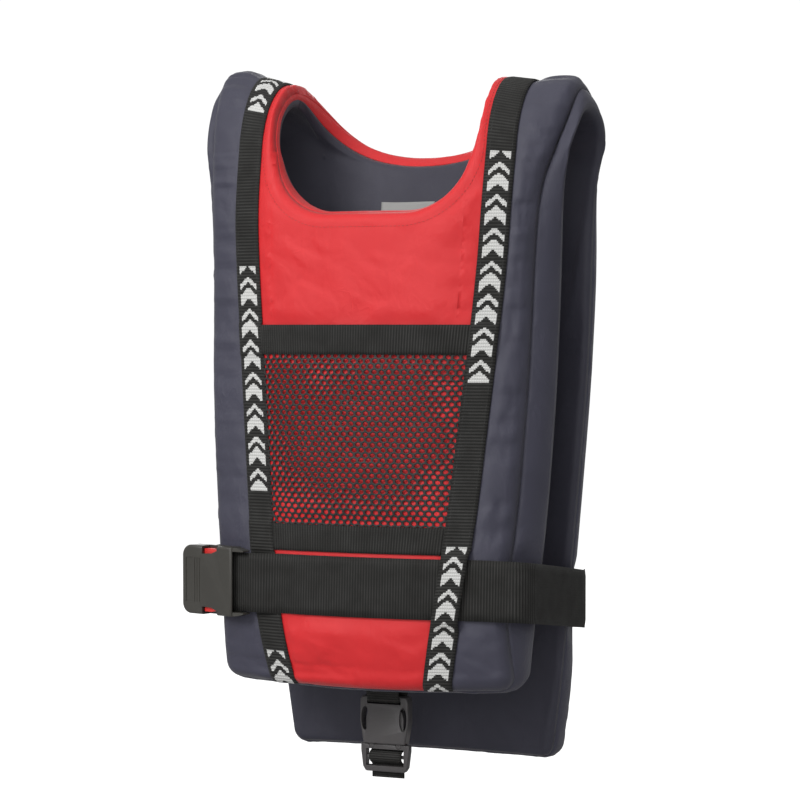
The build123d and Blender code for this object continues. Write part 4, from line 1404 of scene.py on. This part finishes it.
# Printed satin label: pale cloth with plain grey bars in place of words, from its UVs in metres.
def labelMaterial():
    made, tree, shader = newMaterial("labelSatin")
    along = clothPlace(tree)
    row = calc(tree, "DIVIDE", along[1], 0.0052)
    line = calc(tree, "LESS_THAN", calc(tree, "FRACT", row), 0.34)
    turn = calc(tree, "MULTIPLY", calc(tree, "FLOOR", row), 2.3)
    length = calc(tree, "MULTIPLY_ADD", calc(tree, "SINE", turn), 0.007, 0.034)
    inside = calc(tree, "MULTIPLY", calc(tree, "GREATER_THAN", along[0], 0.005),
                  calc(tree, "LESS_THAN", along[0], length))
    margin = calc(tree, "MULTIPLY", calc(tree, "GREATER_THAN", along[1], 0.005),
                  calc(tree, "LESS_THAN", along[1], 0.041))
    mask = calc(tree, "MULTIPLY", calc(tree, "MULTIPLY", line, inside), margin)
    threads = use(tree, weave, Pitch=0.0005)
    pale = blendColors(tree, threads["Height"], (0.25, 0.25, 0.245), (0.31, 0.31, 0.30))
    printed = blendColors(tree, calc(tree, "MULTIPLY", mask, 0.8), pale, (0.06, 0.06, 0.07))
    fill(tree, shader.inputs["Base Color"], printed)
    shader.inputs["Roughness"].default_value = 0.45
    fill(tree, shader.inputs["Normal"], bumped(tree, threads["Height"], 0.0001, 0.5))
    return made


redNylon = clothMaterial("redNylon", cloths["red"])
navyNylon = clothMaterial("navyNylon", cloths["navy"])
liningNylon = clothMaterial("liningNylon", cloths["lining"], 0.8)
beltWeb = webMaterial("beltWebbing", webbing["beltRib"], 0.0021)
crotchWeb = webMaterial("crotchWebbing", 0.0022, 0.0018)
strapWebLeft = webMaterial("strapWebbingLeft", webbing["ribPitch"], 0.0020, 0.167)
strapWebRight = webMaterial("strapWebbingRight", webbing["ribPitch"], 0.0020, 0.264)
blackPlastic = plasticMaterial("blackPlastic", (0.036, 0.034, 0.029), 0.40, (0.078, 0.074, 0.066))
greyPlastic = plasticMaterial("darkGreyPlastic", (0.054, 0.050, 0.051), 0.36, (0.105, 0.100, 0.102))
redPlastic = plasticMaterial("redPlastic", (0.58, 0.026, 0.024), 0.34, (0.66, 0.08, 0.06))
redThread = threadMaterial("redThread", (0.55, 0.03, 0.03))
blackThread = threadMaterial("blackThread", (0.02, 0.02, 0.02))
for piece, material in (
        (centrePanel, redNylon), (neckEdging, redNylon), (sideLeft, navyNylon), (sideRight, navyNylon),
        (gusset, navyNylon), (lining, liningNylon), (strapLeft, strapWebLeft), (strapRight, strapWebRight),
        (beltMain, beltWeb), (beltEnd, beltWeb), (mouthBand, beltWeb), (footBand, beltWeb),
        (webLoop, crotchWeb), (crotchTail, crotchWeb), (crotchRun, crotchWeb), (crotchSpan, crotchWeb),
        (net, netMaterial()), (label, labelMaterial()), (neckSewing, redThread),
        (strapSewingLeft, blackThread), (strapSewingRight, blackThread)):
    piece.data.materials.append(material)
for parts, material in (
        ([beltSocket], blackPlastic), ([beltProngs] + beltLevers, redPlastic),
        ([crotchSocket, crotchLock] + crotchLevers, greyPlastic)):
    for part in parts:
        part.data.materials.append(material)
print("materials made")

# Camera, light and floor
view = {
    "azimuth": 23.0,
    "elevation": 1.6,
    "distance": 2.25,
    "lens": 117.0,
    "target": (0.0, 0.014, -0.255),
    "floor": -0.640,
}
lamps = {
    # name: place, size, power, aim
    "key": ((-0.9, -2.3, 1.2), 1.1, 48, (0, 0, -0.2)),
    "fill": ((0.6, -2.5, 0.1), 1.6, 15, (0, 0, -0.25)),
    "top": ((0.1, -0.3, 1.9), 1.2, 8, (0, 0, -0.2)),
    "rear": ((-0.8, 2.2, 0.5), 1.5, 12, (0, 0, -0.2)),
}


# Camera on a sphere about the target, looking at it.
def makeCamera():
    a, e = math.radians(view["azimuth"]), math.radians(view["elevation"])
    away = np.array([math.sin(a) * math.cos(e), -math.cos(a) * math.cos(e), math.sin(e)])
    data = bpy.data.cameras.new("camera")
    data.lens = view["lens"]
    data.sensor_width = 36
    camera = bpy.data.objects.new("camera", data)
    camera.location = np.array(view["target"]) + away * view["distance"]
    camera.rotation_euler = (math.pi / 2 - e, 0, a)
    bpy.context.scene.collection.objects.link(camera)
    bpy.context.scene.camera = camera


# Large soft lamps round the jacket and a pale world.
def makeLights():
    for name, (place, size, power, aim) in lamps.items():
        data = bpy.data.lights.new(name, "AREA")
        data.shape = "DISK"
        data.size = size
        data.energy = power
        lamp = bpy.data.objects.new(name, data)
        lamp.location = place
        way = np.array(aim) - np.array(place)
        flat = math.hypot(way[0], way[1])
        lamp.rotation_euler = (math.pi / 2 + math.atan2(way[2], flat), 0, math.atan2(-way[0], way[1]))
        bpy.context.scene.collection.objects.link(lamp)
    world = bpy.data.worlds.new("world")
    world.use_nodes = True
    tree = world.node_tree
    tree.nodes["Background"].inputs["Color"].default_value = (1, 1, 1, 1)
    seen = tree.nodes.new("ShaderNodeLightPath").outputs["Is Camera Ray"]
    fill(tree, tree.nodes["Background"].inputs["Strength"], calc(tree, "MULTIPLY_ADD", seen, 0.54, 0.50))
    bpy.context.scene.world = world
    bpy.context.scene.view_settings.view_transform = "Standard"


# A large pale floor a little below the jacket.
def makeFloor():
    mesh = bpy.data.meshes.new("floor")
    r = 30
    z = view["floor"]
    mesh.from_pydata([(-r, -r, z), (r, -r, z), (r, r, z), (-r, r, z)], [], [(0, 1, 2, 3)])
    floor = bpy.data.objects.new("floor", mesh)
    bpy.context.scene.collection.objects.link(floor)
    made, tree, shader = newMaterial("paleFloor")
    seen = node(tree, "ShaderNodeLightPath").outputs["Is Camera Ray"]
    shader.inputs["Base Color"].default_value = (0.42, 0.42, 0.42, 1)
    shader.inputs["Roughness"].default_value = 0.9
    fill(tree, shader.inputs["Emission Color"], blendColors(tree, seen, (0, 0, 0), (1, 1, 1)))
    shader.inputs["Emission Strength"].default_value = 0.80
    floor.data.materials.append(made)


makeCamera()
makeLights()
makeFloor()
